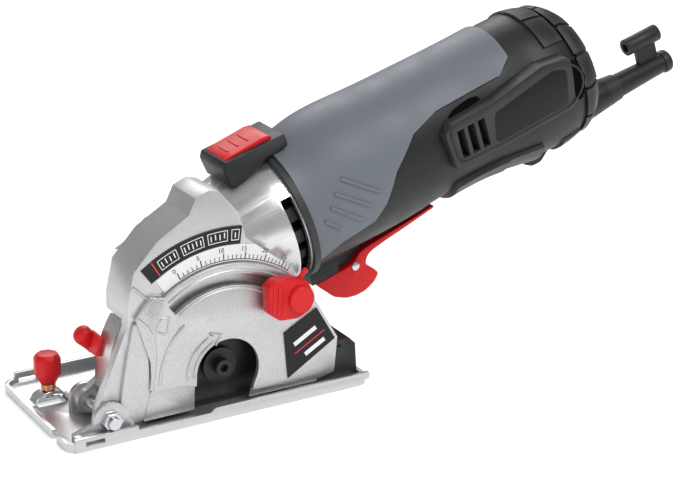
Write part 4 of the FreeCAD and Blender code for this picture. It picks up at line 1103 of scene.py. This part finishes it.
    def pad(self, maker: Mesh, tree: BVHTree, along: tuple[float, float],
            angles: tuple[float, float], thick: float, spans: tuple[int, int] = (4, 6)) -> None:
        """Adds a pad that follows the skin round the motor's axis.

        Args:
            maker: The mesh that it is added to.
            tree: The skin.
            along: Its span along the motor.
            angles: Its span round the motor, in degrees from straight up.
            thick: How far it stands up.
            spans: How many faces it has along and round the motor.
        """
        grid = bmesh.ops.create_grid(maker, x_segments=spans[0], y_segments=spans[1], size=1.0)
        verts = grid["verts"]
        lost = []
        for vert in verts:
            at = along[0] + (vert.co.x + 1.0) / 2.0 * (along[1] - along[0])
            angle = math.radians(angles[0] + (vert.co.y + 1.0) / 2.0 * (angles[1] - angles[0]))
            out = Vector((0.0, math.sin(angle), math.cos(angle)))
            start = PLACES.on_motor(at, 70.0 * out.y, 70.0 * out.z)
            axis = PLACES.on_motor(at, 0.0, 0.0)
            hit, _, _, _ = tree.ray_cast(start, (axis - start).normalized())
            if hit is None:
                lost.append(vert)
            else:
                vert.co = hit + (hit - axis).normalized() * thick * MM
        if lost:
            bmesh.ops.delete(maker, geom=verts, context="VERTS")
            return
        faces = list({face for vert in verts for face in vert.link_faces})
        bmesh.ops.recalc_face_normals(maker, faces=faces)
        centre = PLACES.on_motor(sum(along) / 2.0, 0.0, 0.0)
        if (faces[0].calc_center_median() - centre).dot(faces[0].normal) < 0.0:
            bmesh.ops.reverse_faces(maker, faces=faces)
        bmesh.ops.solidify(maker, geom=faces, thickness=(thick + 0.8) * MM)

    def pod_details(self) -> None:
        """Adds the blank badge and the rim to both pods."""
        for side, word in SIDES:
            plate = self.pod_plate(rounded(self.badge, 3.0), side, 0.25, 0.2)
            finish_piece(f"blank_badge_{word}", plate, Part.HEAD, "label_black", FILM)
            face = self.pod_face(side)
            line = [PLACES.on_motor(along, face, up) for along, up in rounded(self.pod_rim, 5.0)]
            swept(f"pod_rim_{word}", line, 0.75, *HEAD_BLACK, True)

    def slide_switch(self) -> None:
        """Shapes the switch's seat and its red slider with three short ribs."""
        seat = block(rounded(self.seat, 1.2, 3), -13.9, 13.9, 1.4, True)
        finish_piece("switch_seat", seat, *HEAD_BLACK, ("switch_base",), CRISP)
        crown = block(rounded(self.crown, 0.6, 2), -10.9, 10.9, 0.6, True)
        finish_piece("slider_crown", crown, *SLIDER_RED, ("lock_slider",), CRISP)
        maker = bmesh.new()
        for along, top in self.slider_ribs:
            rib = block([(along - 1.0, top - 0.6), (along - 0.5, top + 0.45), (along + 0.5, top + 0.45),
                         (along + 1.0, top - 0.6)], -5.4, 5.4, 0.2, True)
            mesh = bpy.data.meshes.new("rib")
            rib.to_mesh(mesh)
            rib.free()
            maker.from_mesh(mesh)
            bpy.data.meshes.remove(mesh)
        finish_piece("slider_ribs", maker, *SLIDER_RED)

    def trigger(self) -> None:
        """Shapes the paddle with its round toe, heel and long tail, and its pin's two heads."""
        low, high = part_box("trigger_paddle")
        half = (high[1] - low[1]) / 2.0 / MM
        shape = block(rounded(self.paddle, 1.6, 3), -half, half, 0.9, True)
        finish_piece("trigger_shaped", shape, Part.TRIGGER, "red_plastic", RED, ("trigger_paddle",), CRISP)
        for side, word in SIDES:
            pin = PLACES.motor_matrix() @ Matrix.Translation(Vector((97.0, side * half, -46.0)) * MM)
            place = pin @ Matrix.Rotation(-side * math.pi / 2.0, 4, "X")
            finish_piece(f"pin_head_{word}", turned(self.pin_head, 24, place), Part.HEAD, "steel_zinc", ZINC)

    def build(self) -> None:
        """Makes the motor's outer pieces."""
        self.grip_ribs()
        self.grip_edge()
        self.treads()
        self.belly()
        self.recesses()
        self.pod_details()
        self.slide_switch()
        self.trigger()
        for _, word in SIDES:
            softened_node("side_pod_" + word, *HEAD_BLACK, 0.8, 3)


@dataclass
class SmallParts:
    """The stop, levers, outlet and end fittings with rounded edges."""

    wing: Outline = ((-15.0, 8.5), (-14.6, -5.5), (-8.5, -10.0), (2.0, -10.5), (9.0, -7.0), (11.0, 0.5),
                     (7.5, 8.0), (1.0, 11.0), (-6.5, 12.0), (-11.5, 11.5))
    cap: Outline = ((0.0, -0.4), (6.8, -0.4), (6.8, 2.4), (6.2, 3.1), (0.0, 3.2))
    sleeve: Outline = ((0.0, 0.0), (8.6, 0.0), (8.4, 12.0), (7.6, 19.0), (0.0, 19.0))
    collar: Outline = ((3.7, 0.0), (6.2, 0.2), (6.5, 1.0), (6.5, 3.6), (6.1, 4.4), (3.7, 4.5), (3.7, 0.0))
    tab_angles: tuple[float, float] = (159.0, 168.0)

    def knob(self) -> None:
        """Shapes the depth knob: a ribbed wing and a round cap."""
        pivot = Vector(joint_named("depth_knob_turn")["pos_m"]) / MM
        low, high = (Vector(corner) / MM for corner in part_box("depth_knob"))
        near, far = low.y, high.y
        wing = [(pivot.x + x, pivot.z + z) for x, z in self.wing]
        body = block(rounded(wing, 1.3, 3), near + 2.6, far, 0.7)
        finish_piece("depth_wing", body, *KNOB_RED, ("depth_knob",), CRISP)
        axis = Matrix.Rotation(math.pi / 2.0, 4, "X")
        place = Matrix.Translation(Vector((pivot.x + 3.0, near + 3.2, pivot.z)) * MM) @ axis
        finish_piece("depth_cap", turned(self.cap, 40, place), *KNOB_RED)
        for index in range(3):
            x = pivot.x - 12.6 + 2.9 * index
            line = [Vector((x + 0.12 * step, near + 2.5, pivot.z - 6.5 + 2.4 * step)) * MM
                    for step in range(7)]
            swept(f"depth_rib_{index + 1}", line, 0.6, *KNOB_RED)

    def lever(self) -> None:
        """Turns the front guard's round handle and bends the tab that it stands on."""
        low, high = (Vector(corner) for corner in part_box("guard_lever"))
        start = Vector((high.x - 0.003, high.y - 0.0082, low.z + 0.0045))
        end = Vector((low.x + 0.0042, high.y - 0.0082, high.z - 0.0055))
        reach = (end - start).length / MM
        profile = [(0.0, -3.0), (3.4, -3.0), (3.7, 0.0), (4.9, reach - 2.0), (4.9, reach),
                   (4.3, reach + 1.6), (3.0, reach + 2.7), (1.4, reach + 3.1), (0.0, reach + 3.2)]
        place = Matrix.Translation(start) @ (end - start).to_track_quat("Z", "Y").to_matrix().to_4x4()
        finish_piece("lever_handle", turned(profile, 32, place), *LEVER_RED,
                     ("guard_lever",), 50.0)
        strip = (PLACES.spindle.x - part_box("front_guard")[0][0]) / MM
        maker = bmesh.new()
        wide = (high.y - low.y) / MM - 8.0
        ArcBand(strip + 0.1, strip + 2.2, *self.tab_angles, low.y / MM, wide).add_to(maker)
        finish_piece("lever_tab", maker, *LEVER_RED)

    def build(self) -> None:
        """Makes them."""
        softened_node("dust_outlet", Part.BASE, "black_plastic", BLACK, 0.8, 3)
        softened_node("depth_carriage", Part.DEPTH_STOP, "red_plastic", RED, 0.5)
        self.knob()
        self.lever()
        softened_node("cable_gland", *HEAD_BLACK, 0.4)
        ends = (("gland_sleeve", 266.0, self.sleeve), ("gland_collar", 318.0, self.collar))
        for name, start, profile in ends:
            place = (PLACES.motor_matrix() @ Matrix.Translation(Vector((start, 0.0, -29.0)) * MM)
                     @ Matrix.Rotation(math.pi / 2.0, 4, "Y"))
            finish_piece(name, turned(profile, 40, place), *HEAD_BLACK)
        softened_node("key_holder", *HEAD_BLACK, 0.4)
        softened_node("axle_nut", *BASE_ZINC, 0.4)


KEPT_NODES: dict[str, Finish] = {
    "axle_bolt": ZINC, "guide_screw": ZINC, "front_guard": STRIP, "flange_screws": DARK_STEEL,
    "cover_screws": ZINC, "housing_screws": DARK_STEEL, "spindle": ZINC, "inner_flange": DARK_STEEL,
    "outer_flange": DARK_STEEL, "saw_blade": DARK_STEEL, "blade_bolt": DARK_STEEL,
    "scale_plate": SILVER_FILM, "label_plate": FILM, "rating_plate": FILM, "bearing_plate": CAST,
    "drive_belt": BELT, "drive_pulley": ZINC, "spindle_pulley": ZINC, "jackshaft": ZINC, "bevel_gear": ZINC,
    "bevel_pinion": ZINC, "armature_shaft": ZINC, "armature_core": IRON, "commutator": COPPER,
    "cooling_fan": BLACK, "field_core": IRON, "field_windings": COPPER, "spindle_bearings": ZINC,
    "jackshaft_bearings": ZINC, "armature_bearings": ZINC, "brush_holders": BRASS, "carbon_brushes": BELT,
    "trigger_switch": BLACK, "trigger_pin": ZINC, "spindle_lock_button": BLACK, "collar_ring": BLACK,
    "motor_housing_left": BLACK, "motor_housing_right": BLACK, "soft_grip": GREY, "rear_bumper": BLACK,
}


# ---------------------------------------------------------------- studio
@dataclass
class Studio:
    """Floor, lights and camera."""

    place: Point = (-0.4048, -0.8613, 0.4271)
    forward: Point = (0.4732, 0.8098, -0.3469)
    lens: float = 102.86
    sensor: float = 36.0
    floor_half: float = 6.0
    floor_glow: float = 0.42
    sky_glow: float = 0.36
    middle: Point = (0.08, 0.0, 0.08)
    lamps: tuple[tuple[str, Point, float, float], ...] = (
        ("key_light", (0.35, -0.75, 1.1), 0.6, 9.5), ("side_light", (-1.0, -0.5, 0.5), 0.4, 2.0),
        ("back_light", (0.4, 0.9, 0.9), 0.7, 7.0))

    def floor(self) -> None:
        """Lays a wide pale floor under the object."""
        maker = bmesh.new()
        bmesh.ops.create_grid(maker, x_segments=1, y_segments=1, size=self.floor_half)
        mesh = bpy.data.meshes.new("studio_floor")
        maker.to_mesh(mesh)
        maker.free()
        paper = Shelf.get(FLOOR)
        shader = paper.node_tree.nodes["Principled BSDF"]
        shader.inputs["Emission Color"].default_value = (1.0, 1.0, 1.0, 1.0)
        shader.inputs["Emission Strength"].default_value = self.floor_glow
        mesh.materials.append(paper)
        piece = bpy.data.objects.new("studio_floor", mesh)
        bpy.context.scene.collection.objects.link(piece)

    def lamp(self, name: str, place: Point, size: float, power: float) -> None:
        """Hangs one square soft light that points at the object.

        Args:
            name: The light's name.
            place: Where it hangs.
            size: Its edge length.
            power: Its power in watts.
        """
        light = bpy.data.lights.new(name, "AREA")
        light.size = size
        light.energy = power
        holder = bpy.data.objects.new(name, light)
        holder.location = place
        holder.rotation_euler = (Vector(self.middle) - Vector(place)).to_track_quat("-Z", "Y").to_euler()
        bpy.context.scene.collection.objects.link(holder)

    def camera(self) -> None:
        """Sets the camera at the viewing angle."""
        lens = bpy.data.cameras.new("camera")
        lens.lens = self.lens
        lens.sensor_width = self.sensor
        lens.clip_start = 0.01
        holder = bpy.data.objects.new("camera", lens)
        holder.location = self.place
        holder.rotation_euler = Vector(self.forward).to_track_quat("-Z", "Y").to_euler()
        bpy.context.scene.collection.objects.link(holder)
        bpy.context.scene.camera = holder

    def build(self) -> None:
        """Sets the studio up."""
        self.camera()
        self.floor()
        world = bpy.data.worlds.new("studio")
        world.use_nodes = True
        world.node_tree.nodes["Background"].inputs["Color"].default_value = (1.0, 1.0, 1.0, 1.0)
        world.node_tree.nodes["Background"].inputs["Strength"].default_value = self.sky_glow
        bpy.context.scene.world = world
        for lamp in self.lamps:
            self.lamp(*lamp)
        bpy.context.scene.view_settings.view_transform = "Standard"


def main() -> None:
    """Builds the studio and every sub-assembly."""
    Studio().build()
    for node, finish in KEPT_NODES.items():
        dress_node(node, finish)
    for assembly in (Castings(), Scale(), GuideClamp(), MotorBody(), SmallParts()):
        assembly.build()
    missing = [name for name, item in frame["nodes"].items() if not item.data.materials]
    LOG.info("nodes without a finish: %s", missing)


if __name__ == "__main__":
    main()
